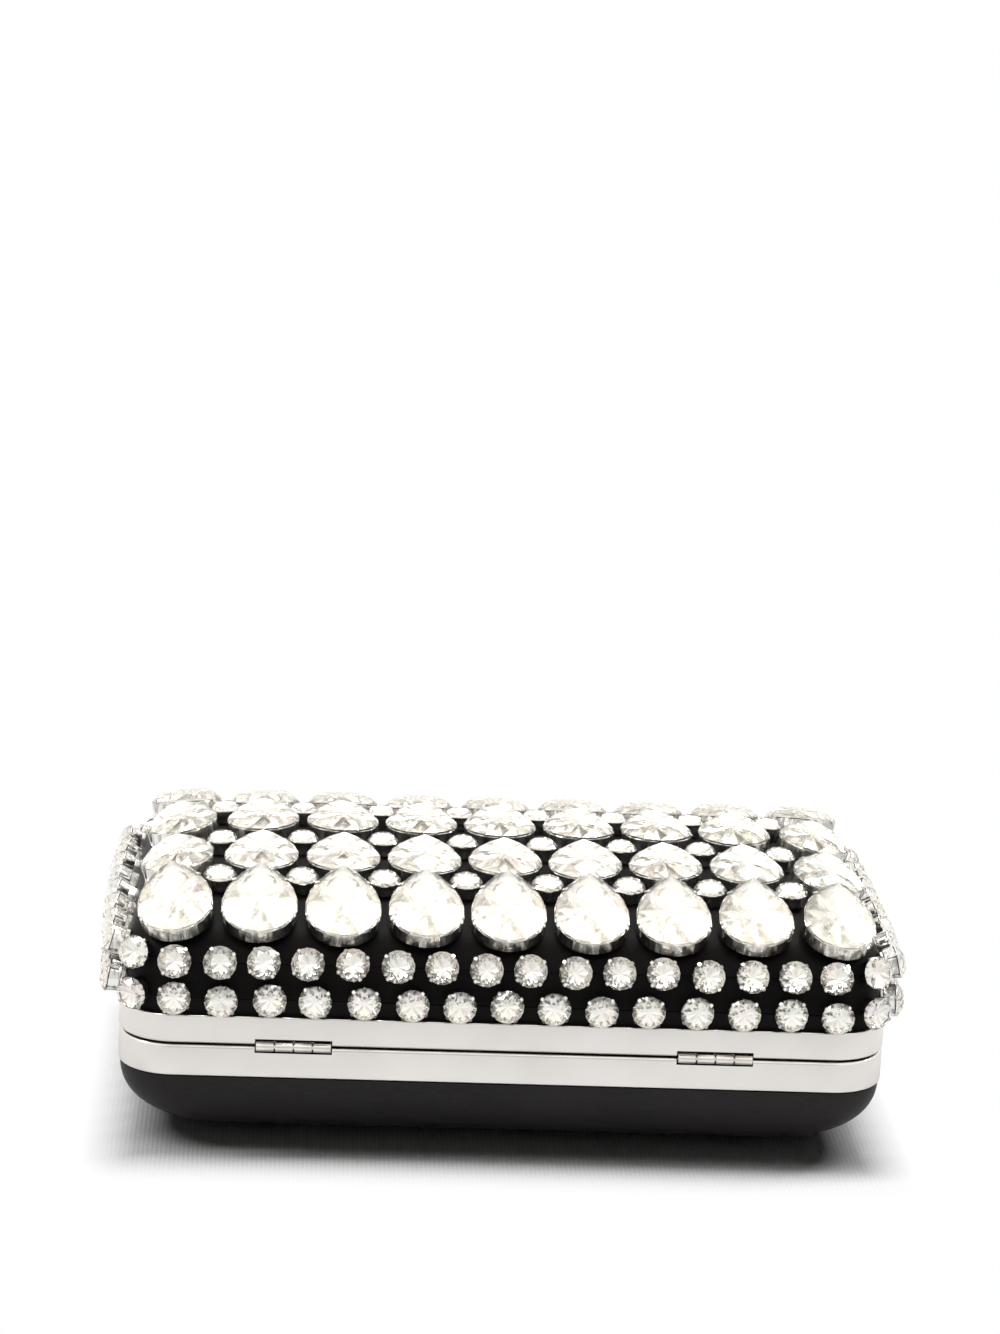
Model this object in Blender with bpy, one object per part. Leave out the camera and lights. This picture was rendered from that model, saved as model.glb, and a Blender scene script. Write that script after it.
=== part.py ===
# Crystal clutch: a hard box purse that opens on two hinges along its rear edge.
# Metres. X runs along the width, the hinges are at -Y, the clasp is at +Y, +Z is up.
# The origin is the centre of the flat back that the purse lies on.
import math

import bmesh
import bpy
from mathutils import Matrix, Vector

# Frame: two metal bands that meet at the seam
frame_width = 0.187
frame_depth = 0.108
frame_corner_radius = 0.0135
frame_wall = 0.0012
frame_chamfer = 0.0004
flange_reach = 0.0050
flange_thickness = 0.0020
lid_band_height = 0.0071
base_band_height = 0.0078
seam_gap = 0.0005
fit_gap = 0.0003
cut_overrun = 0.0010

# Satin covered shells and their linings
base_shell_height = 0.0187
base_shell_setback = 0.0004
base_shell_round = 0.0240
lid_shell_rise = 0.0257
shell_wall = 0.0020
lining_wall = 0.0010
lid_side_power_share = 3.15
lid_end_power_share = 6.5
lid_crown_angle_share = 0.93
corner_segments = 6
wall_levels = 7
block_edge_segments = 4
sharp_angle = math.radians(35)
halving_steps = 40
seat_levels = 3
lifting_steps = 12

# Hinges: two leaves of two knuckles each on one pin
hinge_offset = 0.0510
hinge_axis_out = 0.0002
knuckle_radius = 0.00115
knuckle_length = 0.00428
knuckle_gap = 0.0003
knuckle_bore_radius = 0.0006
pin_radius = 0.0005
leaf_thickness = 0.0007
leaf_seam_gap = 0.0003
leaf_reach = 0.0042
recess_half_height = 0.00175
round_sides = 16

# Clasp: a push button with a sprung slide in a housing, and a hook on the lid
button_width = 0.0120
button_height = 0.0036
button_proud = 0.0016
button_travel = 0.0015
button_round_share = 0.96
button_clearance = 0.0002
slide_width = 0.0140
slide_thickness = 0.0016
slide_window_width = 0.0090
slide_rear_bar = 0.0010
housing_wall = 0.0008
spring_room = 0.0036
spring_radius = 0.0015
spring_wire_radius = 0.0002
spring_turns = 5
spring_points_per_turn = 8
hook_width = 0.0070
hook_thickness = 0.0010
hook_nose_height = 0.0010
hook_clearance = 0.0004
hook_foot_reach = 0.0046

# Pear crystals, each with its cup
pear_width = 0.0185
pear_length = 0.0254
pear_cup_height = 0.0034
pear_crown_height = 0.0035
pear_ledge = 0.0005
pear_gap = 0.0015
pear_row_gap = 0.0006
pear_end_margin = 0.0025
pear_edge_margin = 0.0004
pear_inner_row_shift = 0.0016
pear_cup_base_share = 0.97
pear_table_share = 0.52
pear_row_tilt_share = 1.18
pear_end_tilt_share = 1.0
pear_last_row_tilt_share = 0.85
pear_last_end_tilt_share = 0.4
pear_round_segments = 8
pear_side_segments = 3

# Round crystals in claw settings, strung on wires
round_radius = 0.0041
round_setting_height = 0.0033
round_crown_height = 0.0018
round_base_radius = 0.0034
round_table_radius = 0.0023
round_facets = 8
round_row_shift = 0.0022
wire_radius = 0.0003
wire_height = 0.0017
row_wire_height = 0.0011
row_wire_shift = 0.0002
weld_share = 0.01
ring_band_gap = 0.0004
ring_gap = 0.0007
ring_side_drop = 0.0011
lower_ring_spacing = 0.0114
upper_ring_spacing = 0.0106

# Places worked out from the sizes above
seam_height = base_shell_height + fit_gap + base_band_height + seam_gap / 2
base_band_top = seam_height - seam_gap / 2
base_band_bottom = base_band_top - base_band_height
lid_band_bottom = seam_height + seam_gap / 2
lid_band_top = lid_band_bottom + lid_band_height
half_width = frame_width / 2
half_depth = frame_depth / 2
tongue_inset = frame_wall + fit_gap
hinge_axis_y = -(half_depth + hinge_axis_out)
lower_ring_height = ring_band_gap + round_radius
upper_ring_end_height = lower_ring_height + 2 * round_radius + ring_gap
upper_ring_side_height = upper_ring_end_height - ring_side_drop


def clear_scene():
    for old in list(bpy.data.objects):
        bpy.data.objects.remove(old, do_unlink=True)


def new_collection(name):
    collection = bpy.data.collections.new(name)
    bpy.context.scene.collection.children.link(collection)
    return collection


def new_material(name, color, roughness, metallic):
    material = bpy.data.materials.new(name)
    material.use_nodes = True
    shader = material.node_tree.nodes["Principled BSDF"]
    shader.inputs["Base Color"].default_value = (*color, 1.0)
    shader.inputs["Roughness"].default_value = roughness
    shader.inputs["Metallic"].default_value = metallic
    return material


def add_mesh_object(name, bm, collection, material, smooth=False):
    bmesh.ops.recalc_face_normals(bm, faces=bm.faces[:])
    mesh = bpy.data.meshes.new(name)
    bm.to_mesh(mesh)
    bm.free()
    if smooth:
        mesh.shade_smooth()
        mesh.set_sharp_from_angle(angle=sharp_angle)
    item = bpy.data.objects.new(name, mesh)
    collection.objects.link(item)
    if material:
        mesh.materials.append(material)
    return item


def add_loft(name, rings, collection, material, closed=False):
    """Join outlines of equal point counts, one to the next. An open loft gets a flat face at each end."""
    bm = bmesh.new()
    loops = [[bm.verts.new(point) for point in ring] for ring in rings]
    count = len(rings[0])
    pairs = list(zip(loops, loops[1:]))
    if closed:
        pairs.append((loops[-1], loops[0]))
    for near, far in pairs:
        for k in range(count):
            n = (k + 1) % count
            bm.faces.new((near[k], near[n], far[n], far[k]))
    if not closed:
        bm.faces.new(loops[0])
        bm.faces.new(loops[-1])
    return add_mesh_object(name, bm, collection, material, smooth=True)


def add_block(name, low, high, collection, material, rounding=0.0, along=None):
    """A box between two corners. Its edges that run along one axis may be rounded."""
    bm = bmesh.new()
    size = Vector(high) - Vector(low)
    middle = (Vector(high) + Vector(low)) / 2
    place = Matrix.Translation(middle) @ Matrix.Diagonal((*size, 1))
    bmesh.ops.create_cube(bm, size=1, matrix=place)
    if rounding:
        edges = [e for e in bm.edges if abs((e.verts[0].co - e.verts[1].co)[along]) > size[along] / 2]
        bmesh.ops.bevel(bm, geom=edges, offset=rounding, segments=block_edge_segments, affect="EDGES", profile=0.5)
    return add_mesh_object(name, bm, collection, material)


def add_round_bar(name, radius, low_x, high_x, y, z, collection, material):
    """A cylinder that lies along X."""
    bm = bmesh.new()
    place = Matrix.Translation(((low_x + high_x) / 2, y, z)) @ Matrix.Rotation(math.pi / 2, 4, "Y")
    bmesh.ops.create_cone(bm, cap_ends=True, segments=round_sides, radius1=radius, radius2=radius,
                          depth=high_x - low_x, matrix=place)
    return add_mesh_object(name, bm, collection, material, smooth=True)


def apply_boolean(target, tool, operation):
    """Cut or join with another object, then take that object away."""
    modifier = target.modifiers.new(operation.lower(), "BOOLEAN")
    modifier.operation = operation
    modifier.solver = "EXACT"
    modifier.object = tool
    graph = bpy.context.evaluated_depsgraph_get()
    graph.update()
    result = bpy.data.meshes.new_from_object(target.evaluated_get(graph))
    old = target.data
    target.modifiers.clear()
    target.data = result
    bpy.data.meshes.remove(old)
    bpy.data.objects.remove(tool, do_unlink=True)


def outline(half_x, half_y, radius, z):
    """A rectangle with round corners at one height, counterclockwise from the middle of the right side."""
    points = []
    centres = ((1, 1), (-1, 1), (-1, -1), (1, -1))
    for corner, (sx, sy) in enumerate(centres):
        for k in range(corner_segments + 1):
            angle = math.pi / 2 * (corner + k / corner_segments)
            x = sx * (half_x - radius) + radius * math.cos(angle)
            y = sy * (half_y - radius) + radius * math.sin(angle)
            points.append(Vector((x, y, z)))
    return points


def frame_outline(inset, z):
    radius = frame_corner_radius - inset
    return outline(half_width - inset, half_depth - inset, radius, z)


def superellipse(share, power):
    """How far out, 0 to 1, a rounded wall stands at a share of its height."""
    return max(0.0, 1 - share ** power) ** (1 / power)


def lid_half_sizes(rise_share, inset, extra_wall):
    """Half width, half depth and corner radius of the lid's wall at a share of its rise."""
    side = superellipse(rise_share, lid_side_power_share)
    end = superellipse(rise_share, lid_end_power_share)
    reach_x = (half_width - inset - extra_wall) * end
    reach_y = (half_depth - inset - extra_wall) * side
    radius = (frame_corner_radius - inset - extra_wall) * side
    return reach_x, reach_y, radius


def lid_wall_rings(inset, extra_wall, rise):
    """Outlines of the lid's dome from the top of its band up to a small flat crown."""
    rings = []
    for k in range(wall_levels + 1):
        angle = math.pi / 2 * k / wall_levels * lid_crown_angle_share
        share = math.sin(angle) ** (2 / lid_side_power_share)
        reach_x, reach_y, radius = lid_half_sizes(share, inset, extra_wall)
        rings.append(outline(reach_x, reach_y, radius, lid_band_top + rise * share))
    return rings


def base_wall_rings(inset, depth, round_in):
    """Outlines of the base's wall from under its band down towards its flat back."""
    rings = []
    for k in range(wall_levels + 1):
        angle = math.pi / 2 * k / wall_levels
        step = inset + round_in * (1 - math.cos(angle))
        radius = frame_corner_radius - inset
        height = base_shell_height - depth * math.sin(angle)
        rings.append(outline(half_width - step, half_depth - step, radius, height))
    return rings


def make_frames(parts, material):
    """Each band is a wall with a flange along the seam."""
    def band(name, seam_z, edge_z, side):
        inner = frame_wall
        profile = (
            (frame_chamfer, seam_z),
            (0, seam_z + side * frame_chamfer),
            (0, edge_z - side * frame_chamfer),
            (frame_chamfer, edge_z),
            (inner, edge_z),
            (inner, seam_z + side * flange_thickness),
            (flange_reach, seam_z + side * flange_thickness),
            (flange_reach, seam_z),
        )
        rings = [frame_outline(inset, z) for inset, z in profile]
        return add_loft(name, rings, parts, material, closed=True)

    base = band("base_frame", base_band_top, base_band_bottom, -1)
    lid = band("lid_frame", lid_band_bottom, lid_band_top, 1)
    return base, lid


def add_shell(name, outer, inner, collection, material):
    """A tray with an open mouth: outlines up the outside and up the inside, mouth first."""
    return add_loft(name, list(reversed(inner)) + outer, collection, material)


def base_surface(inset, inward):
    """Outlines of one face of a base tray that lies a distance inside the shell's outer face."""
    mouth = frame_outline(inset, base_band_top - flange_thickness - fit_gap)
    return [mouth] + base_wall_rings(inset, base_shell_height - inward, base_shell_round - inward)


def lid_surface(inward):
    """Outlines of one face of a lid tray that lies a distance inside the shell's outer face."""
    mouth = frame_outline(tongue_inset + inward, lid_band_bottom + flange_thickness + fit_gap)
    return [mouth] + lid_wall_rings(tongue_inset, inward, lid_shell_rise - inward)


def make_shells(parts, satin, lining):
    """Two domed shells with a tongue inside their bands, and a lining in each."""
    lining_outside = shell_wall + fit_gap
    lining_inside = lining_outside + lining_wall

    tongue = base_surface(tongue_inset, 0)[:2]
    outside = tongue + base_wall_rings(base_shell_setback, base_shell_height, base_shell_round)
    inside = base_surface(tongue_inset + shell_wall, shell_wall)
    base_shell = add_shell("base_shell", outside, inside, parts, satin)
    outside = base_surface(tongue_inset + lining_outside, lining_outside)
    inside = base_surface(tongue_inset + lining_inside, lining_inside)
    base_lining = add_shell("base_lining", outside, inside, parts, lining)

    lid_shell = add_shell("lid_shell", lid_surface(0), lid_surface(shell_wall), parts, satin)
    lid_lining = add_shell("lid_lining", lid_surface(lining_outside), lid_surface(lining_inside), parts, lining)
    return base_shell, base_lining, lid_shell, lid_lining


def make_hinge(side, parts, cutters, frames, steel):
    """One butt hinge: its leaves lie in the flanges and its knuckles in a recess through the bands."""
    name = "hinge_left" if side < 0 else "hinge_right"
    middle = side * hinge_offset
    pitch = knuckle_length + knuckle_gap
    barrel = 4 * knuckle_length + 3 * knuckle_gap
    start = middle - barrel / 2
    leaf_back = -half_depth + leaf_reach
    for base_side in (True, False):
        sign = -1 if base_side else 1
        near_z = seam_height + sign * leaf_seam_gap
        far_z = near_z + sign * leaf_thickness
        low_z, high_z = min(near_z, far_z), max(near_z, far_z)
        plate_front = hinge_axis_y + knuckle_radius + fit_gap
        leaf = add_block(name + ("_base_leaf" if base_side else "_lid_leaf"),
                         (start, plate_front, low_z), (start + barrel, leaf_back, high_z), parts, steel)
        own = (0, 2) if base_side else (1, 3)
        for k in own:
            low_x = start + k * pitch
            high_x = low_x + knuckle_length
            web_front = hinge_axis_y + (knuckle_bore_radius + knuckle_radius) / 2
            web = add_block("web", (low_x, web_front, low_z), (high_x, plate_front + leaf_thickness, high_z),
                            cutters, None)
            apply_boolean(leaf, web, "UNION")
            knuckle = add_round_bar("knuckle", knuckle_radius, low_x, high_x, hinge_axis_y, seam_height,
                                    cutters, None)
            bore = add_round_bar("bore", knuckle_bore_radius, low_x - cut_overrun, high_x + cut_overrun,
                                 hinge_axis_y, seam_height, cutters, None)
            apply_boolean(knuckle, bore, "DIFFERENCE")
            apply_boolean(leaf, knuckle, "UNION")
        recess_low = start - fit_gap
        recess_high = start + barrel + fit_gap
        recess = add_block("recess", (recess_low, hinge_axis_y - knuckle_radius - cut_overrun,
                                      seam_height - recess_half_height),
                           (recess_high, hinge_axis_y + knuckle_radius + fit_gap + frame_wall,
                            seam_height + recess_half_height), cutters, None)
        frame = frames[0] if base_side else frames[1]
        apply_boolean(frame, recess, "DIFFERENCE")
        mortise = add_block("mortise", (recess_low, -half_depth - cut_overrun, low_z - fit_gap),
                            (recess_high, leaf_back + fit_gap, high_z + fit_gap), cutters, None)
        apply_boolean(frame, mortise, "DIFFERENCE")
    add_round_bar(name + "_pin", pin_radius, start, start + barrel, hinge_axis_y, seam_height, parts, steel)


def make_clasp(parts, cutters, frames, shells, steel):
    """A push button on a slide with a window, its spring and housing, and the lid's hook."""
    base_frame, lid_frame = frames
    base_shell, base_lining, lid_shell, lid_lining = shells
    middle_z = base_band_top - flange_thickness - fit_gap - button_clearance - button_height / 2
    wall_inner = half_depth - frame_wall
    window_front = half_depth - flange_reach
    hook_front = window_front - button_travel - hook_clearance + fit_gap
    hook_back = hook_front - hook_thickness
    window_back = hook_back - fit_gap
    bar_back = window_back - slide_rear_bar
    housing_back = bar_back - spring_room
    slide_low = middle_z - slide_thickness / 2
    slide_high = middle_z + slide_thickness / 2

    button = add_block("latch_button", (-slide_width / 2, bar_back, slide_low),
                       (slide_width / 2, wall_inner - fit_gap, slide_high), parts, steel)
    cap = add_block("cap", (-button_width / 2, wall_inner - fit_gap - slide_thickness / 2,
                            middle_z - button_height / 2),
                    (button_width / 2, half_depth + button_proud, middle_z + button_height / 2),
                    cutters, None, rounding=button_height / 2 * button_round_share, along=1)
    apply_boolean(button, cap, "UNION")
    window = add_block("window", (-slide_window_width / 2, window_back, slide_low - cut_overrun),
                       (slide_window_width / 2, window_front, slide_high + cut_overrun), cutters, None)
    apply_boolean(button, window, "DIFFERENCE")
    hole_half_x = button_width / 2 + button_clearance
    hole_half_z = button_height / 2 + button_clearance
    hole = add_block("hole", (-hole_half_x, wall_inner - cut_overrun, middle_z - hole_half_z),
                     (hole_half_x, half_depth + cut_overrun, middle_z + hole_half_z), cutters, None,
                     rounding=hole_half_z * button_round_share, along=1)
    apply_boolean(base_frame, hole, "DIFFERENCE")

    inner_x = slide_width / 2 + fit_gap
    outer_x = inner_x + housing_wall
    nose_top = slide_low - hook_clearance
    nose_low = nose_top - hook_nose_height
    floor_top = nose_low - hook_clearance
    housing_low = floor_top - housing_wall
    housing_high = base_band_top - flange_thickness - fit_gap
    housing = add_block("latch_housing", (-outer_x, housing_back - housing_wall, housing_low),
                        (outer_x, wall_inner - fit_gap, housing_high), parts, steel)
    room = add_block("room", (-inner_x, housing_back, floor_top),
                     (inner_x, wall_inner + cut_overrun, housing_high + cut_overrun), cutters, None)
    apply_boolean(housing, room, "DIFFERENCE")
    for item in (base_shell, base_lining):
        pocket = add_block("pocket", (-outer_x - fit_gap, housing_back - housing_wall - fit_gap,
                                      housing_low - fit_gap),
                           (outer_x + fit_gap, wall_inner, seam_height), cutters, None)
        apply_boolean(item, pocket, "DIFFERENCE")

    foot_low = lid_band_bottom + flange_thickness + fit_gap
    foot_high = foot_low + hook_thickness
    nose_front = window_front - hook_clearance
    side = (
        (hook_back, nose_low),
        (nose_front, nose_low),
        (nose_front, nose_top),
        (hook_front, nose_top),
        (hook_front, foot_low),
        (hook_back + hook_foot_reach, foot_low),
        (hook_back + hook_foot_reach, foot_high),
        (hook_back, foot_high),
    )
    ends = [[Vector((x, y, z)) for y, z in side] for x in (-hook_width / 2, hook_width / 2)]
    hook = add_loft("latch_hook", ends, parts, steel)
    hook.data.shade_flat()
    for item in (lid_shell, lid_lining):
        notch = add_block("notch", (-hook_width / 2 - fit_gap, hook_back - fit_gap, foot_low - cut_overrun),
                          (hook_width / 2 + fit_gap, hook_back + hook_foot_reach + fit_gap,
                           foot_high + fit_gap), cutters, None)
        apply_boolean(item, notch, "DIFFERENCE")

    make_spring(housing_back + fit_gap, bar_back - fit_gap, middle_z, parts, steel)


def make_spring(back_y, front_y, z, parts, steel):
    """A coil spring along Y between the housing's rear wall and the slide."""
    curve = bpy.data.curves.new("latch_spring", "CURVE")
    curve.dimensions = "3D"
    curve.bevel_depth = spring_wire_radius
    curve.bevel_resolution = 0
    curve.use_fill_caps = True
    total = spring_turns * spring_points_per_turn
    length = front_y - back_y - 2 * spring_wire_radius
    spline = curve.splines.new("POLY")
    spline.points.add(total)
    for k, point in enumerate(spline.points):
        angle = 2 * math.pi * k / spring_points_per_turn
        y = back_y + spring_wire_radius + length * k / total
        point.co = (spring_radius * math.cos(angle), y, z + spring_radius * math.sin(angle), 1)
    spring = bpy.data.objects.new("latch_spring", curve)
    curve.materials.append(steel)
    parts.objects.link(spring)


def lid_height(x, y):
    """Height of the lid's satin above a point, found by halving."""
    low, high = 0.0, 1.0
    for _ in range(halving_steps):
        share = (low + high) / 2
        if wall_distance(Vector((x, y, lid_band_top + lid_shell_rise * share))) < 0:
            low = share
        else:
            high = share
    return lid_band_top + lid_shell_rise * low


def wall_distance(point):
    """How far outside the lid's wall a point lies, measured level."""
    share = (point.z - lid_band_top) / lid_shell_rise
    reach_x, reach_y, radius = lid_half_sizes(max(0.0, share), tongue_inset, 0)
    over_x = abs(point.x) - (reach_x - radius)
    over_y = abs(point.y) - (reach_y - radius)
    if min(over_x, over_y) > 0:
        return math.hypot(over_x, over_y) - radius
    return max(over_x, over_y) - radius


def lid_slopes(x, y):
    step = round_radius / 2
    slope_x = (lid_height(x + step, y) - lid_height(x - step, y)) / (2 * step)
    slope_y = (lid_height(x, y + step) - lid_height(x, y - step)) / (2 * step)
    return slope_x, slope_y


def pear_outline(scale, z):
    """A teardrop: a half circle, then two arcs that meet in a tip at +Y. Its middle length is at 0."""
    radius = pear_width / 2
    tip = pear_length - radius
    side_radius = (tip ** 2 + radius ** 2) / (2 * radius)
    shift = radius - pear_length / 2
    points = []
    for k in range(pear_round_segments + 1):
        angle = math.pi + math.pi * k / pear_round_segments
        points.append((radius * math.cos(angle), radius * math.sin(angle)))
    sides = []
    for k in range(1, pear_side_segments):
        angle = math.asin(tip / side_radius) * k / pear_side_segments
        sides.append((radius - side_radius * (1 - math.cos(angle)), side_radius * math.sin(angle)))
    points += sides
    points.append((0, tip))
    points += [(-x, y) for x, y in reversed(sides)]
    return [Vector((x * scale, (y + shift) * scale, z)) for x, y in points]


def make_pear(name, place, parts, crystal):
    ledge_share = 1 - 2 * pear_ledge / pear_width
    rings = [
        pear_outline(pear_cup_base_share, 0),
        pear_outline(1, pear_cup_height),
        pear_outline(ledge_share, pear_cup_height),
        pear_outline(pear_table_share, pear_cup_height + pear_crown_height),
    ]
    rings = [[place @ point for point in ring] for ring in rings]
    item = add_loft(name, rings, parts, crystal)
    item.data.shade_flat()
    return item


def seat_matrix(x, y, tilt_x, tilt_y, seat_outline):
    """Place a flat seat above the dome at a tilt, lifted until it just clears the satin."""
    turn = Matrix.Rotation(-tilt_x, 4, "Y") @ Matrix.Rotation(tilt_y, 4, "X")
    place = Matrix.Translation((x, y, lid_height(x, y))) @ turn
    lift = 0.0
    for level in range(seat_levels + 1):
        for point in seat_outline:
            world = place @ (point * level / seat_levels)
            lift = max(lift, lid_height(world.x, world.y) - world.z)
    return Matrix.Translation((0, 0, lift + fit_gap)) @ place


def spread(span, size, gap):
    """Centres of as many pieces as fit a span, spaced evenly from edge to edge of it."""
    count = max(2, int((span + gap) / (size + gap)))
    reach = (span - size) / 2
    return [reach * (2 * k / (count - 1) - 1) for k in range(count)]


def pear_rows():
    """Rows from the hinges to the clasp. Those between the first and the last stand a little nearer to them."""
    rows = spread(2 * (half_depth - tongue_inset - pear_edge_margin), pear_length, pear_row_gap)
    return rows[:1] + [y + math.copysign(pear_inner_row_shift, y) for y in rows[1:-1]] + rows[-1:]


def pear_columns():
    return spread(2 * (half_width - tongue_inset - pear_end_margin), pear_width, pear_gap)


def pear_tilts(x, y, last):
    """Tilt to the side and lengthwise. The pears of the last row, by the clasp, lie flatter."""
    end_share = pear_last_end_tilt_share if last else pear_end_tilt_share
    row_share = pear_last_row_tilt_share if last else pear_row_tilt_share
    return math.atan(lid_slopes(x, 0)[0]) * end_share, math.atan(lid_slopes(0, y)[1]) * row_share


def make_pears(parts, crystal):
    """Rows of pears, every tip pointing to the clasp side. The end columns tilt outwards a little."""
    seat = pear_outline(pear_cup_base_share, 0)
    rows = pear_rows()
    for row, y in enumerate(rows):
        for column, x in enumerate(pear_columns()):
            tilt_x, tilt_y = pear_tilts(x, y, y == rows[-1])
            place = seat_matrix(x, y, tilt_x, tilt_y, seat)
            make_pear("pear_r%d_c%d" % (row + 1, column + 1), place, parts, crystal)


def round_seat():
    """The outline of a round setting's base."""
    points = []
    for k in range(round_facets):
        angle = 2 * math.pi * (k + 0.5) / round_facets
        points.append(Vector((round_base_radius * math.cos(angle), round_base_radius * math.sin(angle), 0)))
    return points


def add_round_stone(bm, place):
    """An eight sided stone in its setting, widest at the girdle."""
    levels = (
        (round_base_radius, 0),
        (round_radius, round_setting_height),
        (round_table_radius, round_setting_height + round_crown_height),
    )
    loops = []
    for radius, z in levels:
        loop = []
        for k in range(round_facets):
            angle = 2 * math.pi * (k + 0.5) / round_facets
            loop.append(bm.verts.new(place @ Vector((radius * math.cos(angle), radius * math.sin(angle), z))))
        loops.append(loop)
    for near, far in zip(loops, loops[1:]):
        for k in range(round_facets):
            n = (k + 1) % round_facets
            bm.faces.new((near[k], near[n], far[n], far[k]))
    bm.faces.new(list(reversed(loops[0])))
    bm.faces.new(loops[-1])


def add_wire(name, points, cyclic, collection):
    """A thin square wire through the settings, as a closed mesh."""
    curve = bpy.data.curves.new(name, "CURVE")
    curve.dimensions = "3D"
    curve.bevel_depth = wire_radius
    curve.bevel_resolution = 0
    curve.use_fill_caps = True
    spline = curve.splines.new("POLY")
    spline.points.add(len(points) - 1)
    for target, point in zip(spline.points, points):
        target.co = (*point, 1)
    spline.use_cyclic_u = cyclic
    guide = bpy.data.objects.new(name, curve)
    collection.objects.link(guide)
    graph = bpy.context.evaluated_depsgraph_get()
    graph.update()
    mesh = bpy.data.meshes.new_from_object(guide.evaluated_get(graph))
    bm = bmesh.new()
    bm.from_mesh(mesh)
    bmesh.ops.remove_doubles(bm, verts=bm.verts[:], dist=wire_radius * weld_share)
    wire = add_mesh_object(name + "_mesh", bm, collection, None)
    wire.matrix_world = guide.matrix_world
    bpy.data.objects.remove(guide, do_unlink=True)
    return wire


def make_string(name, places, cyclic, wire_spot, parts, cutters, crystal):
    """A run of round crystals joined by the wire that ties them down."""
    bm = bmesh.new()
    for place in places:
        add_round_stone(bm, place)
    stones = add_mesh_object(name, bm, parts, crystal)
    points = [place @ wire_spot for place in places]
    wire = add_wire(name + "_wire", points, cyclic, cutters)
    apply_boolean(stones, wire, "UNION")
    return stones


def wall_lean(height):
    """How far the lid's sides and ends lean in from upright at a height above the band."""
    step = fit_gap / 2
    above = lid_half_sizes((height + step) / lid_shell_rise, tongue_inset, 0)
    below = lid_half_sizes((height - step) / lid_shell_rise, tongue_inset, 0)
    lean_side = math.atan((below[1] - above[1]) / (2 * step))
    lean_end = math.atan((below[0] - above[0]) / (2 * step))
    return lean_side, lean_end


def ring_places(side_height, end_height, spacing):
    """Places round the lid's wall: along each side, one at each corner, and along each end."""
    side = half_width - frame_corner_radius
    end = half_depth - frame_corner_radius
    side_count = int(2 * side / spacing) + 1
    end_count = int(2 * end / spacing) + 1
    spots = []

    def run(sign_x, sign_y, count, heading):
        """Spots along one side or end, in the order that the ring runs."""
        along_side = sign_x == 0
        height = side_height if along_side else end_height
        lean = wall_lean(height)[0 if along_side else 1]
        reach_x, reach_y, radius = lid_half_sizes(height / lid_shell_rise, tongue_inset, 0)
        for k in range(count):
            share_along = 1 - 2 * k / (count - 1)
            if along_side:
                x, y = sign_y * share_along * side, sign_y * reach_y
            else:
                x, y = sign_x * reach_x, -sign_x * share_along * end
            spots.append((Vector((x, y, lid_band_top + height)), heading, lean))

    def corner(sign_x, sign_y, heading):
        lean = sum(wall_lean(end_height)) / 2
        reach_x, reach_y, radius = lid_half_sizes(end_height / lid_shell_rise, tongue_inset, 0)
        drop = radius * (1 - math.cos(math.pi / 4))
        x, y = sign_x * (reach_x - drop), sign_y * (reach_y - drop)
        spots.append((Vector((x, y, lid_band_top + end_height)), heading, lean))

    run(0, -1, side_count, -math.pi / 2)
    corner(1, -1, -math.pi / 4)
    run(1, 0, end_count, 0)
    corner(1, 1, math.pi / 4)
    run(0, 1, side_count, math.pi / 2)
    corner(-1, 1, math.pi * 3 / 4)
    run(-1, 0, end_count, math.pi)
    corner(-1, -1, -math.pi * 3 / 4)
    return [ring_seat(*spot) for spot in spots]


def ring_seat(spot, heading, lean):
    """Stand a setting on the wall, moved out until its base just clears the satin."""
    turn = Matrix.Rotation(heading, 4, "Z") @ Matrix.Rotation(math.pi / 2 - lean, 4, "Y")
    lift = 0.0
    for _ in range(lifting_steps):
        place = Matrix.Translation(spot + turn @ Vector((0, 0, lift))) @ turn
        nearest = min(wall_distance(place @ point) for point in round_seat())
        lift += fit_gap - nearest
    return Matrix.Translation(spot + turn @ Vector((0, 0, lift))) @ turn


def make_rounds(parts, cutters, crystal):
    """Two rings of round crystals on the lid's wall and three rows between the pears."""
    lower = ring_places(lower_ring_height, lower_ring_height, lower_ring_spacing)
    upper = ring_places(upper_ring_side_height, upper_ring_end_height, upper_ring_spacing)
    wire_spot = Vector((0, 0, wire_height))
    make_string("round_ring_lower", lower, True, wire_spot, parts, cutters, crystal)
    make_string("round_ring_upper", upper, True, wire_spot, parts, cutters, crystal)
    rows = pear_rows()
    columns = pear_columns()
    for number, (near, far) in enumerate(zip(rows, rows[1:])):
        middle = (near + far) / 2
        y = middle - round_row_shift
        # The wire runs under the raised edges of the tilted pears
        outward = math.copysign(row_wire_shift, middle) if abs(middle) > row_wire_shift else 0
        wire_spot = Vector((0, round_row_shift + outward, row_wire_height))
        places = []
        for left, right in zip(columns, columns[1:]):
            x = (left + right) / 2
            slope_x, slope_y = lid_slopes(x, y)
            places.append(seat_matrix(x, y, math.atan(slope_x), math.atan(slope_y), round_seat()))
        make_string("round_row_%d" % (number + 1), places, False, wire_spot, parts, cutters, crystal)


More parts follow.
